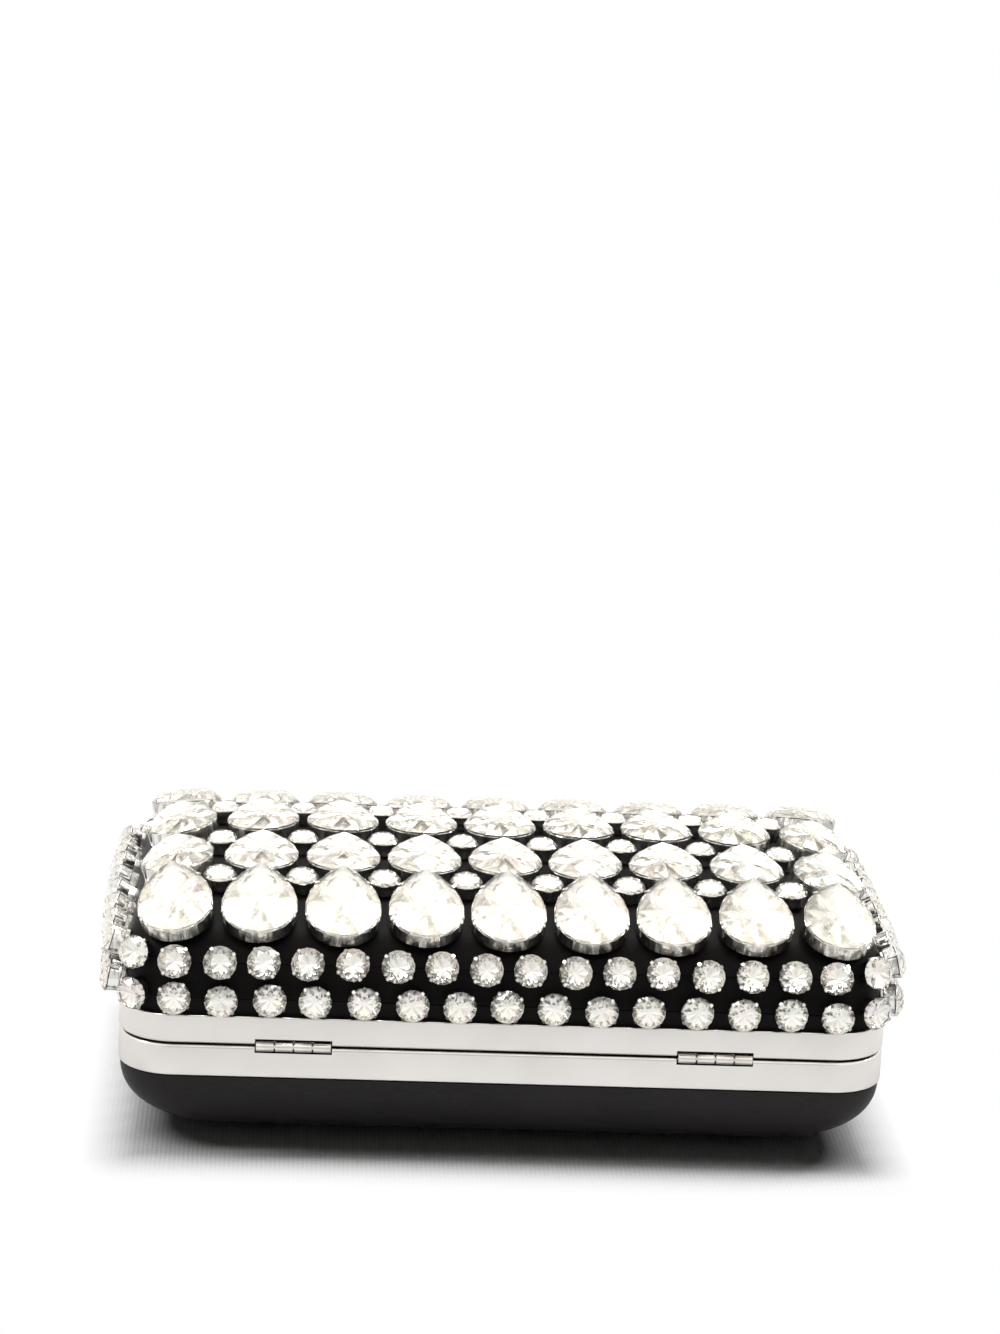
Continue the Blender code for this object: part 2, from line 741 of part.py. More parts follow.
def main():
    clear_scene()
    parts = new_collection("crystal_clutch")
    cutters = new_collection("cutters")
    chrome = new_material("chrome", (0.80, 0.79, 0.77), 0.15, 1.0)
    satin = new_material("black_satin", (0.018, 0.017, 0.018), 0.55, 0.0)
    lining = new_material("lining", (0.03, 0.03, 0.032), 0.8, 0.0)
    steel = new_material("hinge_steel", (0.72, 0.71, 0.69), 0.25, 1.0)
    crystal = new_material("crystal", (0.92, 0.92, 0.89), 0.05, 0.1)

    frames = make_frames(parts, chrome)
    shells = make_shells(parts, satin, lining)
    for side in (-1, 1):
        make_hinge(side, parts, cutters, frames, steel)
    make_clasp(parts, cutters, frames, shells, steel)
    make_pears(parts, crystal)
    make_rounds(parts, cutters, crystal)


main()
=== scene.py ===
# Crystal clutch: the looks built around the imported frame.
import math
import bmesh
import bpy
import numpy as np
from mathutils import Matrix, Vector


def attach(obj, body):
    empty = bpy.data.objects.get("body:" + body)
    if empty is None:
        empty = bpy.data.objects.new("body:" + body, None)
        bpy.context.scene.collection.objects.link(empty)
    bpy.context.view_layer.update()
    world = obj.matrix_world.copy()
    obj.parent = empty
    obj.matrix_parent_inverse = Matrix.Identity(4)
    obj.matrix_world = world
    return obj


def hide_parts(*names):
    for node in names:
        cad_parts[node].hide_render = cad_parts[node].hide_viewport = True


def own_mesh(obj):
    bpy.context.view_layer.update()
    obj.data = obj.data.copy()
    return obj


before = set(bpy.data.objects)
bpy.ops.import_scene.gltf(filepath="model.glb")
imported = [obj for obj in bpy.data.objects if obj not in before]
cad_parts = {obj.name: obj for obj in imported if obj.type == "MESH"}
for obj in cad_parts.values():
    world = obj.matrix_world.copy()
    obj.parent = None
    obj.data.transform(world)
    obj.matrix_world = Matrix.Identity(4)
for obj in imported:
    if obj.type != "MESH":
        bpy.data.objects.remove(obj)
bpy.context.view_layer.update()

mm = 0.001

# Sizes that the pieces share, in millimetres, as the solids have them
clutch = {
    "halfWidth": 93.5, "halfDepth": 54.0, "corner": 13.5, "gap": 0.3,
    "baseBandLow": 19.0, "baseBandTop": 26.8, "seam": 27.05, "lidBandLow": 27.3, "lidBandTop": 34.4,
    "lidRise": 25.7, "sidePower": 3.15, "endPower": 6.5, "tongueInset": 1.5,
}
airGap = clutch["gap"]
link = bpy.context.scene.collection.objects.link


class Sock:
    # One output of a node; arithmetic on it adds Math nodes
    def __init__(self, maker, out):
        self.maker = maker
        self.out = out

    def math(self, operation, *others):
        return self.maker.node("Math", dict(enumerate((self, *others))), {"operation": operation})

    def __add__(self, other):
        return self.math("ADD", other)

    def __mul__(self, other):
        return self.math("MULTIPLY", other)


class Maker:
    # A material's or world's tree: node adds any node, the rest are short ways to common ones
    def __init__(self, tree):
        self.tree = tree

    def node(self, kind, inputs=None, settings=None, out=0):
        made = self.tree.nodes.new("ShaderNode" + kind)
        for key, value in (settings or {}).items():
            setattr(made, key, value)
        for key, value in (inputs or {}).items():
            self.feed(made.inputs[key], value)
        return Sock(self, made.outputs[out])

    def feed(self, socket, value):
        if isinstance(value, Sock):
            self.tree.links.new(value.out, socket)
        elif socket.type == "RGBA" and len(value) == 3:
            socket.default_value = (*value, 1)
        else:
            socket.default_value = value

    def place(self, scale=(1, 1, 1)):
        where = self.node("TexCoord", out=3)
        return self.node("Mapping", {"Vector": where, "Scale": scale})

    def noise(self, scale, detail, stretch=(1, 1, 1)):
        # stretch: how many times finer the noise is along X, Y and Z
        return self.node("TexNoise", {"Vector": self.place(stretch), "Scale": scale, "Detail": detail})

    def mix(self, share, low, high, *stretch):
        # Mix of two colours; stretch: the values of share between which it goes from one to the other
        if stretch:
            share = self.range(share, 0, 1, *stretch)
        return self.node("Mix", {0: share, 6: low, 7: high}, {"data_type": "RGBA"}, out=2)

    def range(self, share, low, high, fromLow=0.0, fromHigh=1.0):
        return self.node("MapRange", {0: share, 1: fromLow, 2: fromHigh, 3: low, 4: high}, {"clamp": True})

    def bump(self, height, strength, distance, under=None):
        inputs = {"Strength": strength, "Distance": distance, "Height": height}
        if under:
            inputs["Normal"] = under
        return self.node("Bump", inputs)

    def vector(self, operation, *values, out=0):
        return self.node("VectorMath", dict(enumerate(values)), {"operation": operation}, out)

    def ray(self, kind):
        return self.node("LightPath", out=kind)

    def paint(self, color=None, roughness=None, normal=None):
        # Feeds what varies over a Principled material
        shader = self.tree.nodes["Principled BSDF"]
        for key, value in (("Base Color", color), ("Roughness", roughness), ("Normal", normal)):
            if value is not None:
                self.feed(shader.inputs[key], value)


def newMaterial(name, fixed):
    # A Principled material; fixed holds the numbers and colours that are the same all over it
    material = bpy.data.materials.new(name)
    material.use_nodes = True
    maker = Maker(material.node_tree)
    for key, value in fixed.items():
        maker.feed(material.node_tree.nodes["Principled BSDF"].inputs[key], value)
    return material, maker


def smoothMesh(mesh, sharpAngle):
    mesh.shade_smooth()
    mesh.set_sharp_from_angle(angle=math.radians(sharpAngle))


def makePiece(name, shapes, materials, sharpAngle=None):
    # shapes: (points in mm, faces, material number) each. With a sharpAngle the faces are joined, turned
    # outward and smoothed; without one they stay flat
    points, faces, slots, start = [], [], [], 0
    for p, f, slot in shapes:
        p = np.asarray(p, float).reshape(-1, 3)
        points.append(p)
        faces += [tuple(int(i) + start for i in face) for face in f]
        slots += [slot] * len(f)
        start += len(p)
    mesh = bpy.data.meshes.new(name)
    mesh.from_pydata((np.concatenate(points) * mm).tolist(), [], faces)
    for material in materials:
        mesh.materials.append(material)
    mesh.polygons.foreach_set("material_index", np.asarray(slots, np.int32))
    if sharpAngle is None:
        mesh.shade_flat()
    else:
        work = bmesh.new()
        work.from_mesh(mesh)
        bmesh.ops.remove_doubles(work, verts=work.verts, dist=0.002 * mm)
        bmesh.ops.recalc_face_normals(work, faces=work.faces)
        work.to_mesh(mesh)
        work.free()
        smoothMesh(mesh, sharpAngle)
    piece = bpy.data.objects.new(name, mesh)
    link(piece)
    return piece


def gridFaces(rows, columns, closeRows=False):
    # Quads between rings of points
    r, c = np.meshgrid(np.arange(rows if closeRows else rows - 1), np.arange(columns), indexing="ij")
    r, c = r.ravel(), c.ravel()
    rn, cn = (r + 1) % rows, (c + 1) % columns
    return np.stack([r * columns + c, r * columns + cn, rn * columns + cn, rn * columns + c], 1).tolist()


def capped(rows, columns, first=1):
    # Quads between rings and a face over each end; first -1 turns the first of them round
    last = (rows - 1) * columns
    return gridFaces(rows, columns) + [tuple(range(columns))[::first], tuple(range(last, last + columns))]


def outlineTable(perCorner, perLong, perShort):
    # A rounded rectangle, counterclockwise: signs of the corner's centre, direction of its radius
    table = []
    sides = (((1, 1), 0), ((-1, 1), 90), ((-1, -1), 180), ((1, -1), 270))
    for k, ((sx, sy), low) in enumerate(sides):
        for a in np.radians(np.linspace(low, low + 90, perCorner + 1)):
            table.append((sx, sy, math.cos(a), math.sin(a)))
        nx, ny = sides[(k + 1) % 4][0]
        count = perLong if k % 2 == 0 else perShort
        for t in np.linspace(0, 1, count + 1)[1:-1]:
            table.append((sx + (nx - sx) * t, sy + (ny - sy) * t, *table[-1][2:]))
    return np.array(table).T


def outlineRings(table, halfX, halfY, radius, z):
    # Each ring: the corner's centre plus the radius in its direction
    sizes = np.broadcast_arrays(halfX, halfY, radius, z)
    hx, hy, r, z = [np.atleast_1d(np.asarray(v, float))[:, None] for v in sizes]
    x = table[0] * (hx - r) + table[2] * r
    y = table[1] * (hy - r) + table[3] * r
    return np.stack([x, y, z + 0 * x], 2)


def insetSizes(inset):
    # The clutch's half width, half depth and corner radius, drawn in
    return [clutch[k] - np.asarray(inset, float) for k in ("halfWidth", "halfDepth", "corner")]


def frameRings(table, inset, z):
    return outlineRings(table, *insetSizes(inset), z)


def lidHalf(share, extra=0.0):
    # Half width, half depth and corner radius of the lid at a share of its rise, by two superellipses
    share = np.clip(share, 0, 1)
    side = (1 - share ** clutch["sidePower"]) ** (1 / clutch["sidePower"])
    end = (1 - share ** clutch["endPower"]) ** (1 / clutch["endPower"])
    halfX, halfY, radius = insetSizes(clutch["tongueInset"] + extra)
    return halfX * end, halfY * side, radius * side


def wallDistance(point):
    # How far outside the lid's wall points lie, measured level
    hx, hy, r = lidHalf((point[..., 2] - clutch["lidBandTop"]) / clutch["lidRise"])
    ox, oy = np.abs(point[..., 0]) - (hx - r), np.abs(point[..., 1]) - (hy - r)
    return np.where(np.minimum(ox, oy) > 0, np.hypot(ox, oy), np.maximum(ox, oy)) - r


def lidHeight(x, y, halvings=40):
    # Height of the lid's cloth over points, found by halving
    x, y = np.broadcast_arrays(np.asarray(x, float), np.asarray(y, float))
    low, high = np.zeros(x.shape), np.ones(x.shape)
    for _ in range(halvings):
        middle = (low + high) / 2
        level = clutch["lidBandTop"] + clutch["lidRise"] * middle
        inside = wallDistance(np.stack([x, y, level], -1)) < 0
        low, high = np.where(inside, middle, low), np.where(inside, high, middle)
    return clutch["lidBandTop"] + clutch["lidRise"] * low


def turn(axis, angle):
    return np.array(Matrix.Rotation(angle, 3, axis))


pear = {
    "width": 18.5, "length": 25.4, "cupBase": 0.97,
    "rowGap": 0.6, "columnGap": 1.5, "endMargin": 2.5, "edgeMargin": 0.4, "innerShift": 1.6,
    "rowTilts": (1.18, 1.18, 1.18, 0.85),
    "endTilts": (1.0, 1.0, 1.0, 0.4),
    "handTilt": 1.0,
}

stud = {
    "radius": 4.1, "baseRadius": 3.4, "baseSides": 8,
    "lowerHeight": 4.5, "lowerSpacing": 11.4,
    "upperSide": 12.3, "upperEnd": 13.4, "upperSpacing": 10.6,
    "rowShift": 2.2, "wireShift": 0.2, "wireHeight": 1.7, "rowWireHeight": 1.1,
}


def pearArcs():
    # Radius of the round end and of the flanks, length of a quarter of the round and of one flank
    radius = pear["width"] / 2
    tip = pear["length"] - radius
    side = (tip ** 2 + radius ** 2) / (2 * radius)
    return radius, side, radius * math.pi / 2, side * math.asin(tip / side)


def pearOutline(share):
    # A teardrop at shares 0 to 1 of the way round from the middle of the round end: a half circle,
    # then two arcs that meet in the tip at +Y
    radius, side, arc, flank = pearArcs()
    share = np.asarray(share, float) % 1
    way = (0.5 - np.abs(share - 0.5)) * 2 * (arc + flank)
    a = np.minimum(way / radius, math.pi / 2)
    b = np.clip((way - arc) / side, 0, flank / side)
    x = np.where(way < arc, radius * np.sin(a), radius - side * (1 - np.cos(b)))
    y = np.where(way < arc, -radius * np.cos(a), side * np.sin(b))
    return np.stack([np.where(share < 0.5, x, -x), y + radius - pear["length"] / 2], -1)


def spread(span, size, gap):
    count = int((span + gap) / (size + gap))
    return (span - size) / 2 * (2 * np.arange(count) / (count - 1) - 1)


def lidSlopes(x, y):
    # Angles of the lid's cloth along X and along Y
    step = stud["radius"] / 2
    slopeX = (lidHeight(x + step, y) - lidHeight(x - step, y)) / (2 * step)
    slopeY = (lidHeight(x, y + step) - lidHeight(x, y - step)) / (2 * step)
    return math.atan(slopeX), math.atan(slopeY)


def seatPlace(x, y, tiltX, tiltY, seat):
    # A flat seat over the dome at a tilt, lifted until it clears the cloth: a turn and a shift
    spin = turn("Y", -tiltX) @ turn("X", tiltY)
    shift = np.array([x, y, float(lidHeight(x, y))])
    samples = np.concatenate([seat * k / 3 for k in range(4)]) @ spin.T + shift
    lift = max(0.0, float((lidHeight(samples[:, 0], samples[:, 1]) - samples[:, 2]).max()))
    return spin, shift + [0, 0, lift + airGap]


def wallLean(height):
    step = airGap / 2
    above, below = lidHalf((height + step) / clutch["lidRise"]), lidHalf((height - step) / clutch["lidRise"])
    return math.atan((below[1] - above[1]) / (2 * step)), math.atan((below[0] - above[0]) / (2 * step))


a = 2 * np.pi * (np.arange(stud["baseSides"]) + 0.5) / stud["baseSides"]
studSeat = stud["baseRadius"] * np.stack([np.cos(a), np.sin(a), 0 * a], 1)


def wallPlace(spot, heading, lean, rounds=12):
    # A setting that stands on the wall, moved out until its base clears the cloth
    spin = turn("Z", heading) @ turn("Y", math.pi / 2 - lean)
    out = spin @ [0, 0, 1]
    lift = 0.0
    for _ in range(rounds):
        lift += airGap - float(wallDistance(studSeat @ spin.T + spot + out * lift).min())
    return spin, spot + out * lift


def ringPlaces(sideHeight, endHeight, spacing):
    side, end = clutch["halfWidth"] - clutch["corner"], clutch["halfDepth"] - clutch["corner"]
    sideCount, endCount = int(2 * side / spacing) + 1, int(2 * end / spacing) + 1
    sideLean, endLean = wallLean(sideHeight)[0], wallLean(endHeight)[1]
    sideY = lidHalf(sideHeight / clutch["lidRise"])[1]
    endX, endY, endR = lidHalf(endHeight / clutch["lidRise"])
    drop = endR * (1 - math.cos(math.pi / 4))
    cornerLean = sum(wallLean(endHeight)) / 2
    low, high = clutch["lidBandTop"] + sideHeight, clutch["lidBandTop"] + endHeight
    spots = []
    for quarter, (sx, sy) in enumerate(((0, -1), (1, 0), (0, 1), (-1, 0))):
        heading = -math.pi / 2 + quarter * math.pi / 2
        count = sideCount if sx == 0 else endCount
        for t in 1 - 2 * np.arange(count) / (count - 1):
            if sx == 0:
                spots.append((np.array([sy * t * side, sy * sideY, low]), heading, sideLean))
            else:
                spots.append((np.array([sx * endX, -sx * t * end, high]), heading, endLean))
        cx, cy = ((1, -1), (1, 1), (-1, 1), (-1, -1))[quarter]
        corner = np.array([cx * (endX - drop), cy * (endY - drop), high])
        spots.append((corner, heading + math.pi / 4, cornerLean))
    return [wallPlace(*spot) for spot in spots]


def handTurn(spin, *spreads):
    # A stone's place turned a little about its own X, Y and Z, at random
    about = np.radians(rng.normal(0, spreads))
    for axis, angle in zip("XYZ", about):
        spin = spin @ turn(axis, float(angle))
    return spin


rng = np.random.default_rng(11)
crownHalfX, crownHalfY, _ = insetSizes(clutch["tongueInset"])
pearRows = spread(2 * (crownHalfY - pear["edgeMargin"]), pear["length"], pear["rowGap"])
pearRows[1:-1] += np.sign(pearRows[1:-1]) * pear["innerShift"]
pearColumns = spread(2 * (crownHalfX - pear["endMargin"]), pear["width"], pear["columnGap"])
# The seat's corners as the solid has them: even steps round the half circle and along each side
_, _, arc, flank = pearArcs()
ways = np.concatenate([arc * np.arange(5) / 4, arc + flank * np.arange(1, 4) / 3])
shares = ways / (arc + flank) / 2
around = pearOutline(np.concatenate([shares, 1 - shares[-2:0:-1]])) * pear["cupBase"]
pearSeat = np.column_stack([around, np.zeros(len(around))])
pearPlaces = {}
for row, y in enumerate(pearRows):
    tiltY = lidSlopes(0, y)[1] * pear["rowTilts"][row]
    for column, x in enumerate(pearColumns):
        tiltX = lidSlopes(x, 0)[0] * pear["endTilts"][row]
        spin, shift = seatPlace(x, y, tiltX, tiltY, pearSeat)
        pearPlaces[row, column] = handTurn(spin, *[pear["handTilt"]] * 3), shift

sewn = {
    "spots": (-80, -40, 0, 20, 40, 60, 80),
    "lowerAlong": (0.6, 0.9, 0.15, -0.4, -0.75, -0.6, -0.65),
    "lowerUp": (-0.05, -0.3, -1.0, -1.1, -1.0, -0.75, -0.8),
    "upperAlong": (0.6, 0.5, 0.35, -0.4, -0.7, -1.0, -2.3),
    "upperUp": (0.9, 0.7, 0.4, 0.2, 0.2, 0.1, -0.1),
    "lineHalf": 81.0, "lineDepth": 1.0, "cornerReach": 8.0, "cornerTurn": 20.0,
    "tilt": 3.0, "turn": 9.0, "endTip": 18.0, "endOut": (2.0, 1.2),
}


def sewnPlaces(places, along, up):
    # Sewn by hand: stones turned and tipped at random, the hinge side's line not quite straight
    result = []
    for spin, shift in places:
        shift = shift.copy()
        x, fromBack = shift[0], shift[1] + clutch["halfDepth"]
        if fromBack < sewn["lineDepth"] and abs(x) < sewn["lineHalf"]:
            shift[0] += np.interp(x, sewn["spots"], along)
            shift[2] += np.interp(x, sewn["spots"], up)
        elif fromBack < sewn["cornerReach"] and abs(x) > clutch["halfWidth"] - sewn["cornerReach"]:
            # The corner stones of the hinge side look round to it
            spin = turn("Z", -math.copysign(math.radians(sewn["cornerTurn"]), x)) @ spin
        collar = 0
        if abs(shift[1]) < clutch["halfDepth"] - sewn["cornerReach"]:
            # At the ends the stones stand on collars and look up
            bulge = 1 - (shift[1] / clutch["halfDepth"]) ** 2
            collar = sewn["endOut"][int(shift[0] > 0)] * bulge
            shift += spin @ [0, 0, collar]
            spin = spin @ turn("Y", -math.radians(sewn["endTip"]) * bulge)
        result.append((handTurn(spin, sewn["tilt"], sewn["tilt"], sewn["turn"]), shift, collar))
    return result


lowerPlaces = sewnPlaces(ringPlaces(stud["lowerHeight"], stud["lowerHeight"], stud["lowerSpacing"]),
                         sewn["lowerAlong"], sewn["lowerUp"])
upperPlaces = sewnPlaces(ringPlaces(stud["upperSide"], stud["upperEnd"], stud["upperSpacing"]),
                         sewn["upperAlong"], sewn["upperUp"])
rowPlaces, rowWires = [], []
for near, far in zip(pearRows, pearRows[1:]):
    middle = (near + far) / 2
    away = math.copysign(stud["wireShift"], middle) if abs(middle) > stud["wireShift"] else 0
    rowWires.append([0, stud["rowShift"] + away, stud["rowWireHeight"]])
    places = []
    for left, right in zip(pearColumns, pearColumns[1:]):
        x, y = (left + right) / 2, middle - stud["rowShift"]
        places.append((*seatPlace(x, y, *lidSlopes(x, y), studSeat), 0))
    rowPlaces.append(places)
rounds = lowerPlaces + upperPlaces + sum(rowPlaces, [])
print("places ready:", len(pearPlaces), "pears,", len(rounds), "rounds")

# Finishes

# Satins: dark and light colour, roughness, sheen; foils: colour, roughness
finish = {
    "bandColor": (0.85, 0.82, 0.785), "bandTarnish": 0.93, "bandRoughness": (0.12, 0.22),
    "hingeColor": (0.90, 0.865, 0.81), "hingeStain": 0.88, "hingeRoughness": (0.16, 0.26),
    "satin": ((0.0080, 0.0070, 0.0068), (0.0145, 0.0130, 0.0125), 0.42, 0.05),
    # The base's satin is the lid's black satin made lighter: painted light for the base's brighter front
    "litBaseSatin": ((0.0360, 0.0330, 0.0336), (0.0580, 0.0530, 0.0540), 0.42, 0.05),
    "lining": ((0.014, 0.013, 0.015), (0.0145, 0.0130, 0.0125), 0.6, 0.25),
    "satinGloss": 0.07, "sheenTint": (0.9, 0.88, 0.9),
    "glassColor": (1.0, 0.995, 0.98), "glassIor": 1.45,
    # Foils get a small share of random coloured tints per facet, painted in for dispersed light
    "pearFoil": ((0.975, 0.945, 0.885), 0.2), "studFoil": ((0.985, 0.962, 0.915), 0.14), "paintedFireShare": 0.05,
    # The cups' light and dark streak colours are painted reflections
    "cupReflectionLight": (0.92, 0.91, 0.88), "cupReflectionDark": (0.52, 0.51, 0.48),
    # The enamel colour is near-black painted shade for the hinge recesses
    # The thread's hollow colour is painted shade in its twist
    "threadColor": (0.008, 0.007, 0.007), "threadHollowShade": 0.4, "recessShadeColor": (0.004, 0.004, 0.004),
}


def darker(color, share):
    return tuple(c * share for c in color)


def satinCloth(name, low, high, roughness, sheen):
    # Satin: long floats along X over short weft, slow folds of tone, and a soft sheen
    material, m = newMaterial(name, {"Sheen Weight": sheen, "Sheen Tint": finish["sheenTint"],
                                     "Sheen Roughness": 0.45, "Specular IOR Level": finish["satinGloss"]})
    floats = m.noise(1, 2, (220, 3600, 3600))
    weft = m.noise(1, 1, (3600, 500, 500))
    slow = m.noise(26, 2)
    yarn = floats * 0.7 + weft * 0.3
    m.paint(m.mix(yarn * 0.5 + slow * 0.5, low, high, 0.35, 0.68),
            m.range(yarn, roughness - 0.07, roughness + 0.09, 0.3, 0.7),
            m.bump(slow, 0.25, 0.0012, m.bump(yarn, 0.35, 0.00008)))
    return material


def foilMetal(name, color, roughness):
    # The silvered back of a stone, with faint painted dispersion: random coloured tints from facet to facet
    # stand in for light split into colours
    material, m = newMaterial(name, {"Metallic": 1.0, "Roughness": roughness})
    paintedFire = m.node("TexVoronoi", {"Vector": m.place(), "Scale": 420.0}, {"feature": "F1"}, out=1)
    m.paint(m.mix(finish["paintedFireShare"], color, paintedFire))
    return material


# Polished nickel: faint brushing along the band, a little tarnish in patches
nickel, m = newMaterial("polishedNickel", {"Metallic": 1.0})
patches = m.noise(60, 3)
brushing = m.noise(1, 2, (40, 40, 2600))
tarnished = darker(finish["bandColor"], finish["bandTarnish"])
m.paint(m.mix(patches, finish["bandColor"], tarnished, 0.35, 0.7),
        m.range(patches + brushing * 0.4, *finish["bandRoughness"], 0.4, 1.0),
        m.bump(brushing, 0.08, 0.00002))

# Turned and rolled steel: fine rings along X and small stains
hingeSteel, m = newMaterial("hingeSteel", {"Metallic": 1.0})
rings = m.noise(1, 2, (3000, 200, 200))
stains = m.noise(300, 3)
stained = darker(finish["hingeColor"], finish["hingeStain"])
m.paint(m.mix(stains, finish["hingeColor"], stained, 0.4, 0.75),
        m.range(rings, *finish["hingeRoughness"], 0.3, 0.7),
        m.bump(rings, 0.04, 0.00002))

# Clear cut glass; the polish marks on it are only just there
glass, m = newMaterial("cutGlass", {"Base Color": finish["glassColor"], "IOR": finish["glassIor"],
                                    "Transmission Weight": 1.0})
m.paint(roughness=m.range(m.noise(900, 2), 0.0, 0.03, 0.45, 0.8))

# Stamped silver cup: upright streaks of light and dark, painted reflections of what stands around it
cupSilver, m = newMaterial("stampedSilver", {"Metallic": 1.0})
streaks = m.noise(1, 2, (900, 900, 60))
m.paint(m.mix(streaks, finish["cupReflectionLight"], finish["cupReflectionDark"], 0.42, 0.62),
        m.range(streaks, 0.12, 0.28, 0.3, 0.7),
        m.bump(streaks, 0.3, 0.0001))

# Twisted black thread that ties the rounds down, the hollows of its twist darker as painted shade
thread, m = newMaterial("blackThread", {"Specular IOR Level": 0.05})
twist = m.noise(2600, 1)
hollowShade = darker(finish["threadColor"], finish["threadHollowShade"])
m.paint(m.mix(twist, hollowShade, finish["threadColor"]), m.range(twist, 0.6, 0.9))

# Painted shade for the inside of the hinge recesses: near black, with a fine orange peel
recessShadeMaterial, m = newMaterial("paintedRecessShade", {"Base Color": finish["recessShadeColor"], "Specular IOR Level": 0.1})
peel = m.noise(1500, 2)
m.paint(roughness=m.range(peel, 0.45, 0.7, 0.3, 0.7), normal=m.bump(peel, 0.2, 0.00003))

satin = satinCloth("blackSatin", *finish["satin"])
# The base's cloth: the same black satin made lighter, as painted light
litBaseSatin = satinCloth("litBaseSatin", *finish["litBaseSatin"])
lining = satinCloth("blackLining", *finish["lining"])
pearFoil = foilMetal("pearFoil", *finish["pearFoil"])
studFoil = foilMetal("studFoil", *finish["studFoil"])
print("finishes ready")

# Bands

band = {
    "wall": 1.2, "chamfer": 0.4, "seamRound": 0.75,
    "flangeReach": 5.0, "flangeThickness": 2.0,
    "roundSteps": 5, "outlineSteps": (28, 40, 24), "sharpAngle": 30,
    # Recess depth, edge and slack: where the band's hinge recesses get painted shade
    "cutTo": 60.0, "recessShadeDepth": 4.0, "recessShadeEdge": 0.02, "recessShadeSlack": 0.01,
}
steelSharp = 35


def bandProfile(seam, edge, side):
    # Wall with both outer edges rounded, and a flange along the seam: insets and heights
    c, s, steps = band["chamfer"], band["seamRound"], band["roundSteps"]
    a = np.linspace(0, np.pi / 2, steps + 1)
    under = seam + side * band["flangeThickness"]
    inset = [s * (1 - np.sin(a)), c * (1 - np.cos(a)), [band["wall"]] * 2, [band["flangeReach"]] * 2]
    z = [seam + side * s * (1 - np.cos(a)), edge - side * c * (1 - np.sin(a)), [edge, under, under, seam]]
    return np.concatenate(inset), np.concatenate(z)


def cutBox(piece, low, high, rounding=0.0):
    # Cut a box, given in mm, out of a piece; its edges along Y may be rounded
    work = bmesh.new()
    low, high = Vector(low) * mm, Vector(high) * mm
    matrix = Matrix.Translation((low + high) / 2) @ Matrix.Diagonal((*(high - low), 1))
    bmesh.ops.create_cube(work, size=1, matrix=matrix)
    if rounding:
        edges = [e for e in work.edges if abs((e.verts[0].co - e.verts[1].co).y) > (high - low).y / 2]
        bmesh.ops.bevel(work, geom=edges, offset=rounding * mm, segments=10, affect="EDGES", profile=0.5)
    mesh = bpy.data.meshes.new("cutter")
    work.to_mesh(mesh)
    work.free()
    cutter = bpy.data.objects.new("cutter", mesh)
    link(cutter)
    modifier = piece.modifiers.new("cut", "BOOLEAN")
    modifier.operation, modifier.solver, modifier.object = "DIFFERENCE", "EXACT", cutter
    applyModifiers(piece)
    bpy.data.objects.remove(cutter, do_unlink=True)
    bpy.data.meshes.remove(mesh)


def applyModifiers(piece):
    graph = bpy.context.evaluated_depsgraph_get()
    graph.update()
    result = bpy.data.meshes.new_from_object(piece.evaluated_get(graph))
    piece.modifiers.clear()
    old = piece.data
    piece.data = result
    bpy.data.meshes.remove(old)


hinge = {
    "offset": 51.0, "axisY": -54.2,
    "knuckleRadius": 1.15, "knuckleLength": 4.28, "knuckleGap": 0.3,
    "boreRadius": 0.6, "pinRadius": 0.5,
    "leafThickness": 0.7, "leafSeamGap": 0.3, "leafBack": -49.8,
    "recessHalf": 1.75, "webEase": 0.02, "webOverlap": 0.3,
}
hingeBarrel = 4 * hinge["knuckleLength"] + 3 * hinge["knuckleGap"]

clasp = {
    "middle": 22.5, "clearance": 0.2, "ease": 0.1,
    "capWidth": 12.0, "capHeight": 3.6, "capRadius": 1.73, "capFront": 55.6, "capSteps": 9,
    "capRim": ((0, 0.7), (0.07, 0.4), (0.22, 0.17), (0.45, 0.04), (0.7, 0), (0.95, 0.03), (1.25, 0.12)),
    "holeBack": 50.0, "holeRoundShare": 0.98,
    "slideHalf": 7.0, "slideBack": 45.1, "slideFront": 52.5, "slideThick": 1.6, "slideRound": 0.5,
    "windowHalf": 4.5, "windowBack": 46.1, "windowFront": 49.0, "windowRound": 0.4,
    "housingWall": 0.8, "housingBack": 41.5, "housingFloor": 19.9, "housingTop": 24.5,
    "hookWidth": 7.0, "hookBack": 46.4, "hookThick": 1.0, "hookNose": (48.6, 20.3), "hookSteps": 6,
    "hookFoot": 29.6, "hookReach": 4.6, "hookBend": 0.7, "noseEase": 0.3, "noseSlope": (0.7, 0.6),
    "springBack": 41.8, "springFront": 44.8, "springRadius": 1.5, "springWire": 0.2,
    "springTurns": 5, "springSteps": 24, "springSides": 8, "springPressed": 0.5,
}


